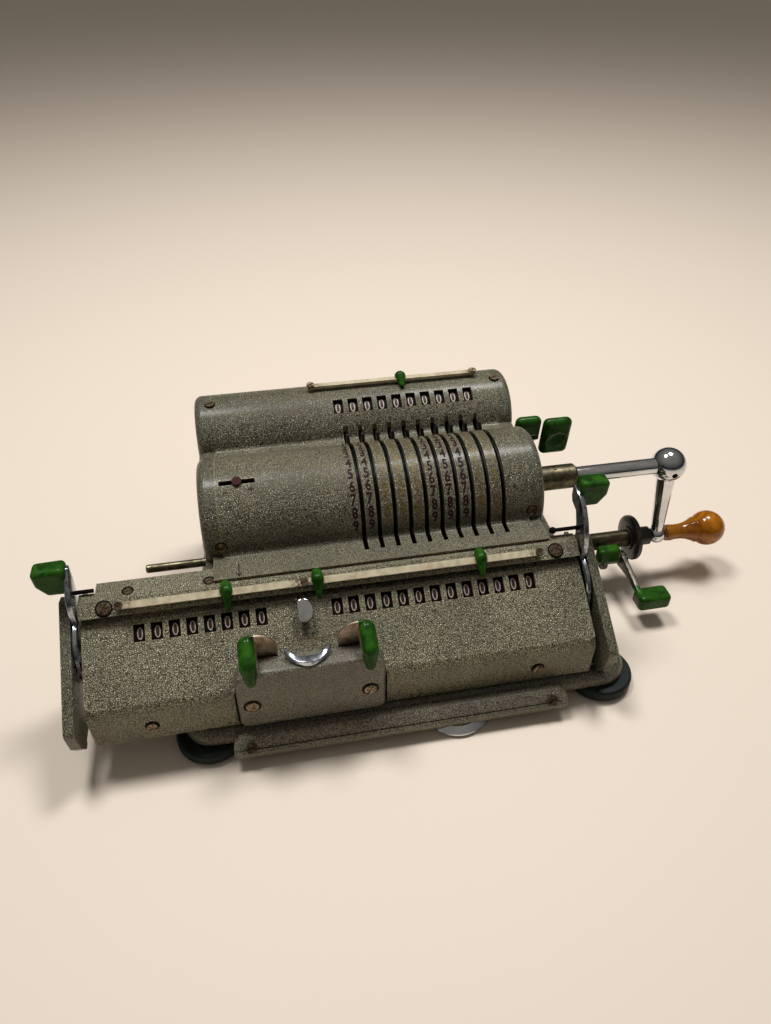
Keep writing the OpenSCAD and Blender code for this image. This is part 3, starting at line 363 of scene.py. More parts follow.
print("frame pieces dressed")


# Helpers for new pieces

def objectFrom(name, form):
    # An object in the scene from a form, which is used up
    mesh = bpy.data.meshes.new(name)
    form.to_mesh(mesh)
    form.free()
    piece = bpy.data.objects.new(name, mesh)
    showObject(piece)
    return piece


def settle(piece, materials, body, node):
    # What the piece is made of, what it rides on and what it stands for
    for material in materials:
        piece.data.materials.append(material)
    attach(piece, body)
    if node:
        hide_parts(node)


def newPiece(name, form, material, body, node=None, sharp=30):
    bmesh.ops.recalc_face_normals(form, faces=form.faces)
    for face in form.faces:
        face.smooth = True
    for edge in form.edges:
        edge.smooth = edge.calc_face_angle(0) < radians(sharp)
    settle(objectFrom(name, form), [material], body, node)


def finishedMesh(piece):
    # The mesh that an object shows, with its modifiers or as drawn text
    bpy.context.view_layer.update()
    return bpy.data.meshes.new_from_object(piece.evaluated_get(bpy.context.evaluated_depsgraph_get()))


def applyModifiers(piece):
    piece.data = finishedMesh(piece)
    piece.modifiers.clear()


def turnedForm(form, profile, origin, direction, segments=96):
    # A closed turned shape; the profile gives (distance along the axis, radius), from one end to the other
    axis = Vector(direction).normalized()
    side = axis.orthogonal().normalized()
    other = axis.cross(side)
    rings = []
    for distance, radius in profile:
        middle = at(*origin) + axis * distance * mm
        if radius == 0:
            rings.append([form.verts.new(middle)])
            continue
        ring = []
        for k in range(segments):
            turn = 2 * pi * k / segments
            spoke = side * cos(turn) + other * sin(turn)
            ring.append(form.verts.new(middle + spoke * radius * mm))
        rings.append(ring)
    for first, second in zip(rings, rings[1:]):
        for k in range(segments):
            corners = [first[k % len(first)], first[(k + 1) % len(first)]]
            corners += [second[(k + 1) % len(second)], second[k % len(second)]]
            form.faces.new(list(dict.fromkeys(corners)))


def ballProfile(radius, steps=32):
    turns = [pi * k / steps for k in range(1, steps)]
    return [(-radius, 0)] + [(-radius * cos(t), radius * sin(t)) for t in turns] + [(radius, 0)]


def rodProfile(start, end, radius, endRadius=None):
    return [(start, 0), (start, radius), (end, endRadius or radius), (end, 0)]


def turnedPiece(name, material, body, node, shapes):
    form = bmesh.new()
    for profile, origin, direction in shapes:
        turnedForm(form, profile, origin, direction)
    newPiece(name, form, material, body, node)


# Crank: shaft, a tapered arm between a large and a small ball, and the pin of the hand grip
crank = {
    "x": 141.5, "angle": 261.2, "length": 46.0, "shaftX": (-112, 137.5), "shaftR": 4.6,
    "ballR": 9.8, "armStart": 6, "armR": (5.2, 3.4), "endBallR": 5.3, "pin": (3.8, 34.3), "pinR": 1.8,
}
armDirection = across(crank["angle"])
gripAxis = tuple(drumAxis[i] + crank["length"] * armDirection[i + 1] for i in (0, 1))
crankBall = (crank["x"], *drumAxis)
endBall = (crank["x"], *gripAxis)
turnedPiece("main_shaft_turned", chrome, "crank", "main_shaft", [
    (rodProfile(*crank["shaftX"], crank["shaftR"]), (0, *drumAxis), along),
])
turnedPiece("crank_arm_turned", chrome, "crank", "crank_arm", [
    (ballProfile(crank["ballR"]), crankBall, armDirection),
    (rodProfile(crank["armStart"], crank["length"], *crank["armR"]), crankBall, armDirection),
    (ballProfile(crank["endBallR"], 24), endBall, armDirection),
    (rodProfile(*crank["pin"], crank["pinR"]), endBall, along),
])

# Bearing bush of the crank, with a bore and a chamfered end
bearing = {"start": 49.5, "reach": 27.5, "bore": 4.65, "r": 6.8, "endR": 5.7, "chamfer": 1.3}
bearingEnd = machine["housingRight"] + bearing["reach"]
turnedPiece("crank_bearing_turned", shaftBronze, "frame", "crank_bearing", [([
    (bearing["start"], bearing["bore"]), (bearing["start"], bearing["r"]),
    (bearingEnd - bearing["chamfer"], bearing["r"]), (bearingEnd, bearing["endR"]),
    (bearingEnd, bearing["bore"]), (bearing["start"], bearing["bore"]),
], (0, *drumAxis), along)])

# The rest of the hand grip: a tube with a dished disc
rest = {"tubeStart": 53.5, "tubeR": 5, "discBeforeCrank": 19.1}
discX = crank["x"] - rest["discBeforeCrank"]
turnedPiece("rest_tube_turned", shaftBronze, "frame", "rest_tube", [
    (rodProfile(rest["tubeStart"], discX, rest["tubeR"]), (0, *gripAxis), along),
])
turnedPiece("rest_disc_turned", discPlastic, "frame", "rest_disc", [([
    (0, 0), (0, 7), (1, 7.2), (1, 12.2), (1.3, 12.8), (1.9, 13.2), (3.6, 13.2), (4.3, 12.8), (4.6, 12.2),
    (4.6, 9.4), (4.0, 9.0), (4.0, 5.4), (13.5, 5.4), (13.5, 0),
], (discX, *gripAxis), along)])

# Guide rod at the left of the housing
guideRod = {"x": (-143.5, -99.5), "axis": (12.6, 65.8), "r": 2.1, "endR": 1.6, "chamfer": 0.6}
rodStart, rodEnd = guideRod["x"]
turnedPiece("guide_rod_turned", shaftBronze, "frame", "guide_rod", [([
    (rodStart, 0), (rodStart, guideRod["endR"]), (rodStart + guideRod["chamfer"], guideRod["r"]),
    (rodEnd, guideRod["r"]), (rodEnd, 0),
], (0, *guideRod["axis"]), along)])

# Hand grip: a bored neck that swells into a ball
handGrip = {
    "start": 5.5, "boreEnd": 34.6, "boreR": 1.9, "bulbX": 26.6, "bulbR": 10.4, "bulbFrom": 138,
    "tip": (36.9, 0.6),
    "neck": [(0, 4.6), (2, 4.9), (5, 4.5), (9, 4.5), (12, 5.0), (15.6, 6.3), (17.6, 7.5)],
}
bulb = []
for degrees in range(handGrip["bulbFrom"], 4, -6):
    turn = radians(degrees)
    bulb.append((handGrip["bulbX"] + handGrip["bulbR"] * cos(turn), handGrip["bulbR"] * sin(turn)))
bore = [(handGrip["boreEnd"], 0), (handGrip["boreEnd"], handGrip["boreR"]), (0, handGrip["boreR"])]
gripProfile = bore + handGrip["neck"] + bulb + [handGrip["tip"], (handGrip["tip"][0], 0)]
turnedPiece("crank_grip_turned", amberPlastic, "hand_grip", "crank_grip", [
    (gripProfile, (crank["x"] + handGrip["start"], *gripAxis), along),
])
print("turned pieces made")


# Castings and sheet pieces with softened edges, made from copies of the frame's own forms

def copyOf(node, bend=None, wholeFaces=True):
    form = bmesh.new()
    form.from_mesh(nodes[node].data)
    bmesh.ops.remove_doubles(form, verts=form.verts, dist=1e-6)
    for v in form.verts if bend else ():
        v.co += Vector(bend(*((v.co - zero) / mm))) * mm
    if wholeFaces:
        bmesh.ops.dissolve_limit(form, angle_limit=radians(0.5), verts=form.verts, edges=form.edges)
    return form


def soften(form, edges, widthMm, segments=3):
    width = widthMm * mm
    bmesh.ops.bevel(
        form, geom=edges, offset=width, segments=segments, profile=0.5,
        affect="EDGES", clamp_overlap=True, material=-1,
    )


def sharpEdges(form):
    return [e for e in form.edges if e.calc_face_angle(0) > radians(35)]


def softenedCopy(node, widthMm, material, body, bend=None):
    form = copyOf(node, bend)
    for face in form.faces:
        face.material_index = 0
    soften(form, sharpEdges(form), widthMm)
    newPiece(node + "_softened", form, material, body, node, 32)


def ease(value, start, end):
    # 0 before the start, 1 past the end, smooth between
    t = min(max((value - start) / (end - start), 0), 1)
    return t * t * (3 - 2 * t)


# The base narrows towards its rear left corner, and the foot there stands further in
rearLeft = {"edgeX": -100, "startY": -10, "endY": 50, "base": 11, "foot": 13, "footX": -85}


def narrowBase(x, y, z):
    return (rearLeft["base"] * ease(y, rearLeft["startY"], rearLeft["endY"]) * (x < rearLeft["edgeX"]), 0, 0)


def narrowFeet(x, y, z):
    return (rearLeft["foot"] * (y > 0 and x < rearLeft["footX"]), 0, 0)


# The knob's round side is a little flatter than a half circle
knob = {"flatX": -73.4, "narrowing": 0.2}


def narrowKnob(x, y, z):
    return (-knob["narrowing"] * max(x - knob["flatX"], 0), 0, 0)


softenedCopy("left_cheek", 1.1, enamelDark, "carriage")
softenedCopy("right_cheek", 1.1, enamelDark, "carriage")
softenedCopy("front_rail_cover", 0.7, enamelBlock, "frame")
softenedCopy("carry_knob", 0.35, chrome, "carry_knob", narrowKnob)
softenedCopy("base_casting", 2.2, enamelDark, "frame", narrowBase)
softenedCopy("rubber_feet", 0.4, rubber, "frame", narrowFeet)


def plate(form, outline, axis, start, end):
    # A plate between two places along X or Y, from its outline in the other two lengths
    def corner(a, b):
        return at(start, a, b) if axis == "x" else at(a, start, b)

    face = form.faces.new([form.verts.new(corner(a, b)) for a, b in outline])
    grown = bmesh.ops.extrude_face_region(form, geom=[face])["geom"]
    step = Vector((1, 0, 0) if axis == "x" else (0, 1, 0)) * (end - start) * mm
    bmesh.ops.translate(form, verts=[g for g in grown if isinstance(g, bmesh.types.BMVert)], vec=step)
    bmesh.ops.recalc_face_normals(form, faces=form.faces)


def arcPoints(middleX, middleZ, radius, first, last, step=10):
    turns = [radians(degrees) for degrees in range(first, last + 1, step)]
    return [(middleX + radius * cos(turn), middleZ + radius * sin(turn)) for turn in turns]


def roundedOutline(x0, x1, z0, z1, low, high):
    # A rectangle with one radius at its lower corners and one at its upper corners
    outline = arcPoints(x0 + low, z0 + low, low, 180, 270)
    outline += arcPoints(x1 - low, z0 + low, low, 270, 360)
    outline += arcPoints(x1 - high, z1 - high, high, 0, 90)
    return outline + arcPoints(x0 + high, z1 - high, high, 90, 180)


def softPlate(name, outline, axis, start, end, widthMm, material, body, slot, node=None):
    form = bmesh.new()
    plate(form, outline, axis, start, end)
    soften(form, sharpEdges(form), widthMm)
    newPiece(name, form, material, body, node, 32)


# Clearing levers: a disc on the dial shaft, a bent arm given as (y, z), and a pin across to the carriage;
# the right one stands taller and leans further back
levers = {"half": 1.3, "discR": 17.5, "discRim": 0.6, "rimMm": 0.5, "pinR": 1.0, "pinEndR": 1.8}
leverSides = {
    "left": {"x": -174, "pin": (-165, -5.4, 72.6), "arm": [
        (-17, 62), (-17.6, 71), (-15.6, 77), (-11.6, 81.4), (-8, 84.8), (-5, 87.6),
        (-2.2, 87.4), (-2.6, 80), (-3.4, 73.5), (-6, 66), (-8, 56),
    ]},
    "right": {"x": 70.5, "pin": (57.4, -5.4, 74.4), "arm": [
        (-17, 62), (-18.2, 71), (-16.8, 78), (-13.4, 84.4), (-9, 89.4), (-3.6, 93), (4.6, 94.4),
        (4.8, 88), (3, 85), (-2.6, 83.4), (-5.4, 77.6), (-7, 70), (-8, 56),
    ]},
}
half = levers["half"]
discSide = [(half - levers["rimMm"], levers["discR"]), (half, levers["discR"] - levers["discRim"]), (half, 0)]
discProfile = [(-distance, radius) for distance, radius in reversed(discSide)] + discSide
for side, lever in leverSides.items():
    name = side + "_clearing_lever"
    x = lever["x"]
    softPlate(
        name + "_arm", lever["arm"], "x", x - half, x + half, levers["rimMm"],
        chromeWorn, name, "chrome_plate", name,
    )
    form = bmesh.new()
    turnedForm(form, discProfile, (x, *machine["dialAxis"]), along)
    newPiece(name + "_disc", form, chromeWorn, name)
    form = bmesh.new()
    pinX, pinY, pinZ = lever["pin"]
    pin = rodProfile(0, abs(x - pinX), levers["pinR"])
    turnedForm(form, pin, (min(x, pinX), pinY, pinZ), along, 32)
    if side == "right":
        turnedForm(form, ballProfile(levers["pinEndR"], 20), lever["pin"], along, 32)
    newPiece(name + "_pin", form, recessShadeAndBlackPins, name)

# The shift block: a low box with large upper corners and a rolled front edge, and a near-black plate behind
# it that paints the shadow in the gap round it
block = {
    "x": (-105.5, -36.5), "y": (-53.0, -42.4), "z": (17.1, 53.6), "upperR": 9.0, "lowerR": 4.0, "rollMm": 1.6,
    "gap": 0.9, "gapY": (-51.3, -50.6), "gapBelowTop": 6, "gapRimMm": 0.1,
}
softPlate(
    "shift_block_rolled", roundedOutline(*block["x"], *block["z"], block["lowerR"], block["upperR"]),
    "y", *block["y"], block["rollMm"], enamelBlock, "carriage", "hammer_enamel", "shift_block",
)
gap = block["gap"]
gapOutline = roundedOutline(
    block["x"][0] - gap, block["x"][1] + gap, block["z"][0] - gap, block["z"][1] - block["gapBelowTop"],
    block["lowerR"] + gap, block["upperR"] + gap,
)
softPlate(
    "shift_block_gap_shade", gapOutline, "y", *block["gapY"], block["gapRimMm"],
    recessShadeAndBlackPins, "carriage", "hammer_enamel",
)

# The release trigger: a chrome crescent, thick in the middle, with upturned ends and a stem into the block
bow = {
    "x": -71.0, "y": -40.4, "r": 11.6, "wall": 4.2, "endWall": 1.5, "z": (50.6, 56.2), "endRise": 2.6,
    "spread": 68, "steps": 12, "rimMm": 0.45, "stemIn": 3.5, "stem": (-5, 0.5), "stemR": 1.6,
}
form = bmesh.new()
rims = []
for k in range(2 * bow["steps"] + 1):
    share = k / bow["steps"] - 1
    turn = radians(270 + bow["spread"] * share)
    rise = bow["endRise"] * share ** 4
    inner = bow["r"] - bow["endWall"] - (bow["wall"] - bow["endWall"]) * (1 - share ** 2)
    bottom, top = bow["z"]
    ring = []
    for r, z in ((bow["r"], bottom), (bow["r"], top), (inner, top), (inner, bottom)):
        corner = at(bow["x"] + r * cos(turn), bow["y"] + r * sin(turn), z + rise)
        ring.append(form.verts.new(corner))
    rims.append(ring)
for first, second in zip(rims, rims[1:]):
    for k in range(4):
        form.faces.new([first[k], first[(k + 1) % 4], second[(k + 1) % 4], second[k]])
form.faces.new(rims[0])
form.faces.new(rims[-1])
bmesh.ops.recalc_face_normals(form, faces=form.faces)
soften(form, sharpEdges(form), bow["rimMm"])
stemPlace = (bow["x"], bow["y"] - bow["r"] + bow["stemIn"], bow["z"][0])
turnedForm(form, rodProfile(*bow["stem"], bow["stemR"]), stemPlace, up, 32)
newPiece("release_trigger_bow", form, chromeWorn, "release_trigger", "release_trigger", 32)

# The carriage's top plate ends short of the cheeks behind its front strip
topPlate = {"flatX": (-164.8, 55.2), "cutY": (-5.4, 20), "cutZ": (60, 80), "cutReach": 40}
form = copyOf("carriage_top_plate")
bmesh.ops.recalc_face_normals(form, faces=form.faces)
piece = objectFrom("carriage_top_plate_cut", form)
piece.data.materials.append(enamelCarriageLit)
(y0, y1), (z0, z1) = topPlate["cutY"], topPlate["cutZ"]
cutters = []
for side, x in zip((-1, 1), topPlate["flatX"]):
    form = bmesh.new()
    plate(form, [(y0, z0), (y1, z0), (y1, z1), (y0, z1)], "x", x, x + side * topPlate["cutReach"])
    cutters.append(objectFrom("cutter", form))
    cut = piece.modifiers.new("cut", "BOOLEAN")
    cut.operation = "DIFFERENCE"
    cut.object = cutters[-1]
applyModifiers(piece)
for cutter in cutters:
    bpy.data.objects.remove(cutter)
settle(piece, [], "carriage", "carriage_top_plate")

# Screws of the carriage are a little smaller than the recesses that they sit in
screwShrink = 0.85
form = copyOf("carriage_screws", wholeFaces=False)
seen = set()
for start in form.verts:
    if start in seen:
        continue
    island = [start]
    seen.add(start)
    for v in island:
        for other in (edge.other_vert(v) for edge in v.link_edges):
            if other not in seen:
                seen.add(other)
                island.append(other)
    middle = sum((v.co for v in island), Vector()) / len(island)
    for v in island:
        v.co = middle + (v.co - middle) * screwShrink
newPiece("carriage_screws_sunk", form, screwBrown, "carriage", "carriage_screws")

# The cover's bend between its slope and its front is rolled
crease = {"y": -50.95, "z": 38.8, "rollMm": 3.4, "within": 0.35}
form = copyOf("carriage_cover")
line = at(0, crease["y"], crease["z"])


def nearCrease(edge):
    return all(hypot(v.co.y - line.y, v.co.z - line.z) < crease["within"] * mm for v in edge.verts)


soften(form, [e for e in form.edges if nearCrease(e)], crease["rollMm"], 8)
newPiece("carriage_cover_rolled", form, enamelCarriageLit, "carriage", "carriage_cover", 20)
print("edges softened")


# Figures on dials and on the housing; widths are shares of the height, weights thicken the strokes
figures = {
    "dialHeight": 5.9, "dialWidth": 0.74, "dialWeight": -0.01, "slotHeight": 5.3, "slotWidth": 0.76,
    "slotWeight": 0.026, "lift": 0.05, "fillingLift": 0.02, "bands": 8, "fontHeight": 0.69,
    "fillingR": 0.3, "fillingShape": (0.62, 1.15, 1),
}
glyphs = {}


def glyph(text, weight):
    # A flat figure of height 1, centred, with bands across it so that it can bend
    if (text, weight) in glyphs:
        return glyphs[text, weight]
    form = bmesh.new()
    if text == "nought filling":
        bmesh.ops.create_circle(form, cap_ends=True, radius=figures["fillingR"], segments=20)
        bmesh.ops.scale(form, verts=form.verts, vec=figures["fillingShape"])
    else:
        curve = bpy.data.curves.new("glyph", "FONT")
        curve.body = text
        curve.resolution_u = 3
        curve.offset = weight
        holder = bpy.data.objects.new("glyph", curve)
        showObject(holder)
        form.from_mesh(finishedMesh(holder))
        bpy.data.objects.remove(holder)
        bmesh.ops.remove_doubles(form, verts=form.verts, dist=1e-5)
        xs = [v.co.x for v in form.verts]
        ys = [v.co.y for v in form.verts]
        middle = Vector(((min(xs) + max(xs)) / 2, (min(ys) + max(ys)) / 2, 0))
        grow = 1 / figures["fontHeight"]
        bmesh.ops.translate(form, verts=form.verts, vec=-middle)
        bmesh.ops.scale(form, verts=form.verts, vec=(grow, grow, 1))
    for band in range(1, figures["bands"]):
        level = band / figures["bands"] - 0.5
        everything = form.verts[:] + form.edges[:] + form.faces[:]
        bmesh.ops.bisect_plane(form, geom=everything, plane_co=(0, level, 0), plane_no=(0, 1, 0))
    glyphs[text, weight] = form
    return form


def wrapFigure(form, text, weight, x, axis, radius, angle, height, width, lift=figures["lift"]):
    # Lays a figure on a cylinder along X, its foot towards larger angles
    mesh = bpy.data.meshes.new("figure")
    glyph(text, weight).to_mesh(mesh)
    for v in mesh.vertices:
        turn = radians(angle) - v.co.y * height / radius
        reach = radius + lift
        v.co = at(x + v.co.x * width, axis[0] + reach * cos(turn), axis[1] + reach * sin(turn))
    form.from_mesh(mesh)
    bpy.data.meshes.remove(mesh)


def flatPiece(name, form, material, body):
    # Flat marks keep their faces as they were laid, outward
    for face in form.faces:
        face.normal_update()
    settle(objectFrom(name, form), [material], body, None)


def dialFigures(name, columns, x0, axis, radius, windowAngle):
    pale = bmesh.new()
    brown = bmesh.new()
    height = figures["dialHeight"]
    size = (height, height * figures["dialWidth"])
    for column in range(columns):
        x = x0 + machine["pitch"] * column
        for digit in range(10):
            angle = windowAngle + 36 * digit
            wrapFigure(pale, str(digit), figures["dialWeight"], x, axis, radius, angle, *size)
        wrapFigure(brown, "nought filling", 0, x, axis, radius, windowAngle, *size, figures["fillingLift"])
    flatPiece(name + "_figures", pale, figurePale, name + "_dials")
    flatPiece(name + "_nought_filling", brown, figureBrown, name + "_dials")


# The setting register's dials lie under the windows of the hump, the other dials under the slope's windows
register = {"angle": 122.0, "dialR": 13.0, "dialGap": 0.8}
reach = machine["humpR"] - machine["coverSheet"] - register["dialGap"] - register["dialR"]
toWindow = across(register["angle"])
registerAxis = (machine["hump"][0] + reach * toWindow[1], machine["hump"][1] + reach * toWindow[2])
windowX = machine["slotX"] + machine["windowShift"]
pitch = machine["pitch"]
slopeDials = (machine["dialAxis"], machine["dialR"], 90 + machine["slope"])
dialFigures("register", 10, windowX, registerAxis, register["dialR"], register["angle"])
dialFigures("result", 13, windowX - 2 * pitch, *slopeDials)
dialFigures("counter", 8, windowX - 13.5 * pitch, *slopeDials)

# The setting figures beside the slots: gilt on some columns, dark red on the others
setting = {"offset": -3.9, "first": 52.1, "step": 12.73, "gilt": (2, 3, 4, 8, 9)}
slotSize = (figures["slotHeight"], figures["slotHeight"] * figures["slotWidth"])
for label, material in (("gilt", figureGilt), ("red", figureRed)):
    form = bmesh.new()
    for column in range(10):
        if (column in setting["gilt"]) is (label == "gilt"):
            x = machine["slotX"] + pitch * column + setting["offset"]
            for digit in range(10):
                angle = setting["first"] + setting["step"] * digit
                wrapFigure(
                    form, str(digit), figures["slotWeight"], x, drumAxis, machine["drumR"], angle, *slotSize,
                )
    flatPiece("setting_figures_" + label, form, material, "frame")

# Minus and plus under the sign slit
signs = {"size": 4.6, "places": (("-", -101.1, 120.7), ("+", -88.5, 119.9))}
form = bmesh.new()
for text, x, angle in signs["places"]:
    wrapFigure(form, text, 0, x, drumAxis, machine["drumR"], angle, signs["size"], signs["size"])
flatPiece("sign_figures", form, figureRed, "frame")


def lay(form, start, end, widthMm, normal):
    # A thin painted line between two places on a face
    a, b, n = at(*start), at(*end), Vector(normal).normalized()
    side = (b - a).cross(n).normalized() * widthMm * mm / 2
    lift = n * figures["lift"] * mm
    form.faces.new([form.verts.new(p + lift) for p in (a - side, a + side, b + side, b - side)])


def layRing(form, middle, normal, inner, outer, segments=32):
    # A flat ring on a face, or all but a disc when the inner radius is next to nothing
    ringLift = 0.03
    n = Vector(normal).normalized()
    side = n.orthogonal().normalized()
    other = n.cross(side)
    centre = at(*middle) + n * ringLift * mm
    turns = [2 * pi * k / segments for k in range(segments)]
    spokes = [side * cos(turn) + other * sin(turn) for turn in turns]
    rims = [[form.verts.new(centre + spoke * radius * mm) for spoke in spokes] for radius in (inner, outer)]
    for k in range(segments):
        after = (k + 1) % segments
        form.faces.new([rims[0][k], rims[1][k], rims[1][after], rims[0][after]])


def onRound(x, axis, radius, degrees):
    # A place on a cylinder along X, and the way out from there
    out = across(degrees)
    return (x, axis[0] + radius * out[1], axis[1] + radius * out[2]), out


# Painted highlights: pale dots beside the slots, standing for glints on the slot edges
discHeart = 0.001
dots = {"rows": range(3, 9), "shift": 0.45, "beside": 0.4, "r": 0.3}
form = bmesh.new()
for column in range(10):
    x = machine["slotX"] + pitch * column + machine["slotEdge"] + dots["beside"]
    for row in dots["rows"]:
        angle = setting["first"] + setting["step"] * (row + dots["shift"])
        layRing(form, *onRound(x, drumAxis, machine["drumR"], angle), discHeart, dots["r"], 10)
flatPiece("slot_edge_glints", form, figurePale, "frame")

# The arrow on the housing's ledge
arrow = {"x": -98.5, "y": (1.2, -7.6), "headY": (-4.8, -7.8), "headHalf": 1.5, "widths": (0.5, 0.45)}
form = bmesh.new()
ledge = machine["ledgeZ"]
lay(form, (arrow["x"], arrow["y"][0], ledge), (arrow["x"], arrow["y"][1], ledge), arrow["widths"][0], up)
for side in (-arrow["headHalf"], arrow["headHalf"]):
    barb = (arrow["x"] + side, arrow["headY"][0], ledge)
    lay(form, barb, (arrow["x"], arrow["headY"][1], ledge), arrow["widths"][1], up)
flatPiece("ledge_arrow", form, figureRed, "frame")


def onStrip(x, down):
    # A place on the sloping front of the carriage's top plate, below its front edge
    return (x, machine["plateFront"] - down * cos(slope), machine["plateZ"] - down * sin(slope))


# Index lines of the carriage, over the edge of its top plate; one of them is longer
index = {"firstX": -146.7, "step": 8.2, "long": 6, "back": (-9.9, -8.9), "reach": (1.6, 3.4), "width": 0.35}
form = bmesh.new()
for k in range(8):
    x = index["firstX"] + index["step"] * k
    kind = int(k == index["long"])
    lay(form, (x, index["back"][kind], machine["plateZ"]), onStrip(x, 0), index["width"], up)
    lay(form, onStrip(x, 0), onStrip(x, index["reach"][kind]), index["width"], slopeUp)
flatPiece("carriage_index_lines", form, figureGilt, "carriage")

# A long scratch over the shift block
scratch = {"start": (-85.5, -33.4), "end": (-55.4, -33.6), "width": 0.3}


def onSlope(x, y):
    return (x, y, machine["slopeTop"][1] + (y - machine["slopeTop"][0]) * tan(slope))


form = bmesh.new()
lay(form, onSlope(*scratch["start"]), onSlope(*scratch["end"]), scratch["width"], slopeUp)
flatPiece("slope_scratch", form, figureGilt, "carriage")

# Painted shade: dark rings where the carriage's screws are sunk: places along X, place as (y, z), way out and
# two radii
carriageRings = (
    ((-160.5, 56.5), onStrip(0, 3.85)[1:], slopeUp, (3.2, 4.0)),
    ((-145, 40), (-50.54, 26), front, (2.6, 3.3)),
    ((-98.9, -43.9), (block["y"][0], 32.5), front, (3.2, 4.1)),
    ((-150, -112.8), (-6.5, machine["plateZ"]), up, (2.2, 2.8)),
)
form = bmesh.new()
for places, face, normal, radii in carriageRings:
    for x in places:
        layRing(form, (x, *face), normal, *radii)
flatPiece("carriage_screw_recess_shade", form, recessShadeAndBlackPins, "carriage")

# The same painted shade rings on the housing's two round tops
housingRings = {"x": (-105.9, 50.9), "drumAngle": 172.5, "humpAngle": 99, "radii": (2.3, 2.9)}
form = bmesh.new()
for x in housingRings["x"]:
    onDrum = onRound(x, drumAxis, machine["drumR"], housingRings["drumAngle"])
    onHump = onRound(x, machine["hump"], machine["humpR"], housingRings["humpAngle"])
    for face, out in (onDrum, onHump):
        layRing(form, face, out, *housingRings["radii"])
flatPiece("housing_screw_recess_shade", form, recessShadeAndBlackPins, "frame")

# Painted shade: a dark line for the groove along the front of the rail cover
groove = {"x": (-107, 51), "place": (-61.5, 11.4), "normal": (0, -0.87, 0.49), "width": 0.45}
form = bmesh.new()
grooveEnds = [(x, *groove["place"]) for x in groove["x"]]
lay(form, *grooveEnds, groove["width"], groove["normal"])
flatPiece("rail_cover_groove_shade", form, recessShadeAndBlackPins, "frame")

# Painted shade: dark discs for the pin hole in the crank's large ball, and for the oil hole in the bearing
ballHole = {"out": (-0.4, -9.73, -1.11), "at": 9.82, "r": 1.6}
form = bmesh.new()
out = Vector(ballHole["out"]).normalized()
layRing(form, tuple(Vector(crankBall) + out * ballHole["at"]), out, discHeart, ballHole["r"])
flatPiece("crank_ball_hole_shade", form, recessShadeAndBlackPins, "crank")
oilHole = {"x": 73.5, "at": 6.74, "angle": 96, "r": 1.3}
form = bmesh.new()
layRing(form, *onRound(oilHole["x"], drumAxis, oilHole["at"], oilHole["angle"]), discHeart, oilHole["r"])
flatPiece("bearing_oil_hole_shade", form, recessShadeAndBlackPins, "frame")
print("figures and marks laid on")


# Moulded grips: a form remeshed fine and relaxed so that no facet shows
def moulded(name, form, voxelMm, passes, parts):
    piece = objectFrom(name, form)
    remesh = piece.modifiers.new("even", "REMESH")
    remesh.mode = "VOXEL"
    remesh.voxel_size = voxelMm * mm
    remesh.use_smooth_shade = True
    relax = piece.modifiers.new("relax", "SMOOTH")
    relax.factor = 0.5
    relax.iterations = passes
    applyModifiers(piece)
    piece.data.materials.clear()
    for polygon in piece.data.polygons:
        polygon.use_smooth = True
        polygon.material_index = next(k for k, (material, holds) in enumerate(parts) if holds(polygon.center))
    return piece


def settleGrip(piece, parts, body, node):
    settle(piece, [material for material, holds in parts], body, node)


def everywhere(point):
    return True


def hullOfBalls(form, balls):
    # A smooth body stretched over a few balls, given as (x, y, z, radius)
    ballForm = bmesh.new()
    for x, y, z, r in balls:
        made = bmesh.ops.create_uvsphere(ballForm, u_segments=24, v_segments=14, radius=r * mm)["verts"]
        bmesh.ops.translate(ballForm, verts=made, vec=at(x, y, z))
    skin = bmesh.new()
    for v in ballForm.verts:
        skin.verts.new(v.co)
    ballForm.free()
    bmesh.ops.convex_hull(skin, input=skin.verts[:], use_existing_faces=False)
    bmesh.ops.delete(skin, geom=[v for v in skin.verts if not v.link_faces], context="VERTS")
    bmesh.ops.recalc_face_normals(skin, faces=skin.faces)
    mesh = bpy.data.meshes.new("skin")
    skin.to_mesh(mesh)
    skin.free()
    form.from_mesh(mesh)
    bpy.data.meshes.remove(mesh)


# Decimal markers
allGreen = [(greenPlastic, everywhere)]
for node in ("counter_marker", "result_marker_left", "result_marker_right", "register_marker"):
    piece = moulded(node + "_moulding", copyOf(node, wholeFaces=False), 0.3, 10, allGreen)
    settleGrip(piece, allGreen, node, node)

# Grips of the clearing levers: wide at the top, drawn in towards the foot; places are (outward, up)
leverGrip = {
    "ball": 2.2, "inset": 0.88, "depth": (-3.8, 1.2),
    "places": [(0, -0.8), (0, -11.0), (10.4, -1.2), (10.0, -6.4), (6.6, -11.0)],
    "left": (-175.2, -3.4, 88.6), "right": (71.6, 2.4, 98.6),
}
for side, outward in (("left", -1), ("right", 1)):
    x, y, top = leverGrip[side]
    form = bmesh.new()
    hullOfBalls(form, [
        (x + outward * (leverGrip["inset"] + dx), y + dy, top + dz, leverGrip["ball"])
        for dx, dz in leverGrip["places"] for dy in leverGrip["depth"]
    ])
    piece = moulded(side + "_lever_grip_moulding", form, 0.3, 8, allGreen)
    settleGrip(piece, allGreen, side + "_clearing_lever", side + "_lever_grip")

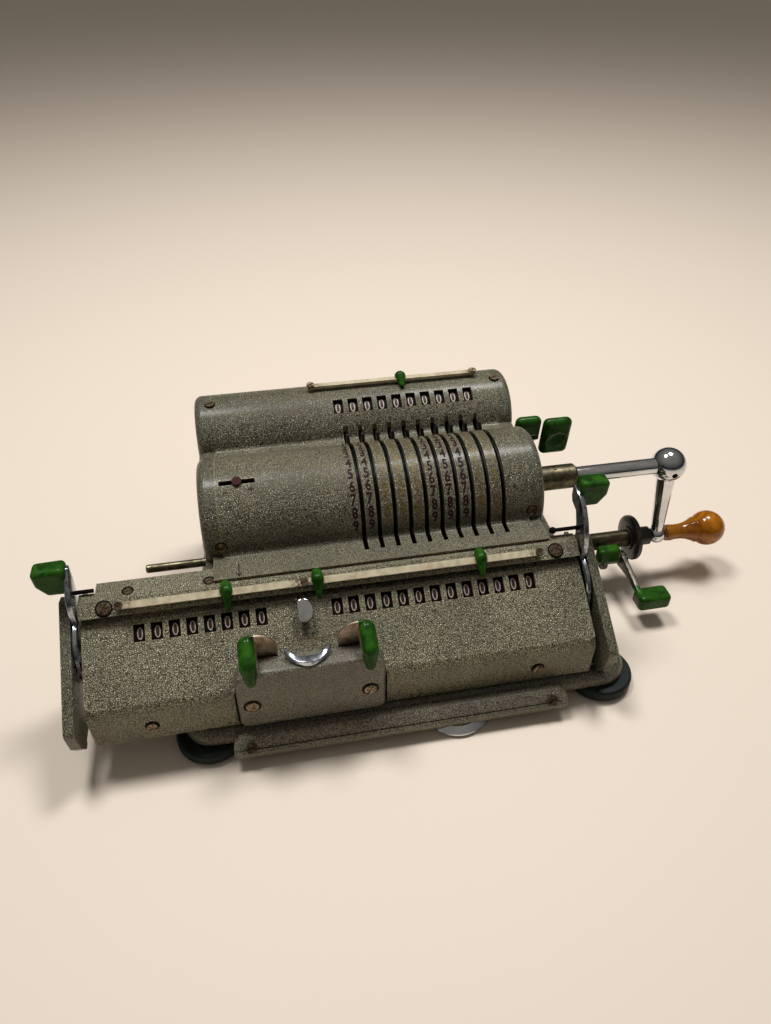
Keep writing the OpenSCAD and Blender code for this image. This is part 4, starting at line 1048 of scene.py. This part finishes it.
# Thumb wings: a steel plate behind the block and a green pad that laps over its front;
# the pad's balls are (outward, y, z, radius)
wing = {
    "x": (-91.0, -50.5), "inner": 6.5, "outer": 5.6, "z": (49.7, 67.0), "cornerR": 9.6, "y": (-42.2, -40.8),
    "padFrom": 3.3,
    "pad": [
        (6.6, -55.0, 51.8, 2.3), (6.9, -51.8, 58.6, 4.2), (6.9, -42.6, 62.4, 4.2), (6.4, -43.6, 56.4, 2.6),
    ],
}
for node, middle, side in zip(("left_shift_wing", "right_shift_wing"), wing["x"], (-1, 1)):
    inner, outer = middle - side * wing["inner"], middle + side * wing["outer"]
    low, high = wing["z"]
    r = wing["cornerR"]
    arc = [(inner + side * (r - x), high - r + z) for x, z in arcPoints(0, 0, r, 0, 90)]
    form = bmesh.new()
    plate(form, [(inner, low)] + arc + [(outer, high), (outer, low)], "y", *wing["y"])
    hullOfBalls(form, [(middle + side * dx, y, z, ball) for dx, y, z, ball in wing["pad"]])
    split = at(middle + side * wing["padFrom"], 0, 0).x
    parts = [
        (steelPlate, lambda p, limit=split, turn=side: turn * (p.x - limit) < 0),
        (greenPlastic, everywhere),
    ]
    settleGrip(moulded(node + "_moulding", form, 0.28, 4, parts), parts, node, node)

# Zeroing lever: a steel arm on its pin, with a small grip and a large one that has a round dish;
# the grips are (x, x, z, z) and the arm's outline is (y, z)
zeroing = {
    "axis": (86, 70), "hubR": 5.0, "armX": (13.0, 16.0), "pinStart": 54, "pinR": 2.5,
    "arm": [(83, 66), (66.6, 80), (66, 92), (69.8, 93), (71.4, 85), (89.5, 74)],
    "gripY": 67.4, "lean": 0.12, "ball": 3.4,
    "small": (59.4, 74.4, 83.2, 95.8), "large": (75.4, 92.2, 70.2, 94.0),
    "dishR": 6.6, "dishMm": 1.2, "dishShift": 0.6, "dishUp": 2.6, "gripBack": 2.6,
}
armStart, armEnd = (machine["housingRight"] + x for x in zeroing["armX"])
form = bmesh.new()
plate(form, zeroing["arm"], "x", armStart, armEnd)
pivot = (0, *zeroing["axis"])
turnedForm(form, rodProfile(armStart, armEnd, zeroing["hubR"]), pivot, along, 64)
turnedForm(form, rodProfile(zeroing["pinStart"], armEnd, zeroing["pinR"]), pivot, along, 48)
ball = zeroing["ball"]
for x0, x1, z0, z1 in (zeroing["small"], zeroing["large"]):
    hullOfBalls(form, [
        (x, zeroing["gripY"] - zeroing["lean"] * (z - z0), z, ball)
        for x in (x0 + ball, x1 - ball) for z in (z0 + ball, z1 - ball)
    ])
x0, x1, z0, z1 = zeroing["large"]
lowest = at(0, 0, z0).z
gripBack = at(0, zeroing["gripY"] + zeroing["gripBack"], 0).y
parts = [(armSteel, lambda p: p.z < lowest or p.y > gripBack), (greenPlastic, everywhere)]
piece = moulded("zeroing_lever_moulding", form, 0.35, 6, parts)
dish = at((x0 + x1) / 2 + zeroing["dishShift"], zeroing["gripY"], z0 + zeroing["dishR"] + zeroing["dishUp"])
for v in piece.data.vertices:
    away = hypot(v.co.x - dish.x, v.co.z - dish.z) / (zeroing["dishR"] * mm)
    if away < 1 and v.co.y < dish.y:
        v.co.y += zeroing["dishMm"] * mm * (1 - away ** 2) ** 0.5
settleGrip(piece, parts, "zeroing_lever", "zeroing_lever")

# The pressed lever at the lower right: green before and above these limits, steel elsewhere
padLimit = at(114.9, -0.6, 26)
parts = [
    (greenPlastic, lambda p: (p.y < padLimit.y and p.x > padLimit.x) or p.z > padLimit.z),
    (armSteel, everywhere),
]
piece = moulded("front_base_lever_moulding", copyOf("front_base_lever", wholeFaces=False), 0.35, 8, parts)
settleGrip(piece, parts, "front_base_lever", "front_base_lever")
print("grips smoothed")


# Stage: a pale table, two broad lamps overhead, a darker room around it
stage = {
    "floorSize": 16.0, "lampSize": 0.34, "lampPower": 8.2,
    "lamps": {"ceiling_lamp_right": (0.34, 0.34, 1.25), "ceiling_lamp_left": (-0.3, 0.3, 1.25)},
}
form = bmesh.new()
bmesh.ops.create_grid(form, x_segments=1, y_segments=1, size=stage["floorSize"] / 2)
floor = objectFrom("table_top", form)
# Pale satin table
satin = {"Base Color": srgb("#efe0cf"), "Roughness": 0.55, "Specular IOR Level": 0.3}
floor.data.materials.append(newMaterial("pale_table_lacquer", satin)[0])

world = bpy.data.worlds.new("soft_room")
world.use_nodes = True
tree = world.node_tree
direction = addNode(tree, "ShaderNodeTexCoord").outputs["Generated"]
height = addNode(tree, "ShaderNodeSeparateXYZ", links={0: direction}).outputs[2]
rise = addNode(tree, "ShaderNodeMapRange", {"From Min": 0.1, "From Max": 0.8}, {"Value": height}).outputs[0]
shades = {"data_type": "RGBA", 6: srgb("#20252b"), 7: srgb("#7f7b74")}
room = addNode(tree, "ShaderNodeMix", shades, {0: rise}).outputs[2]
tree.links.new(room, tree.nodes["Background"].inputs[0])
scene.world = world

for name, place in stage["lamps"].items():
    light = bpy.data.lights.new(name, "AREA")
    light.shape = "DISK"
    light.size = stage["lampSize"]
    light.energy = stage["lampPower"]
    lamp = bpy.data.objects.new(name, light)
    lamp.location = place
    lamp.rotation_euler = (-Vector(place)).to_track_quat("-Z", "Y").to_euler()
    showObject(lamp)
scene.view_settings.view_transform = "Standard"
print("stage set")
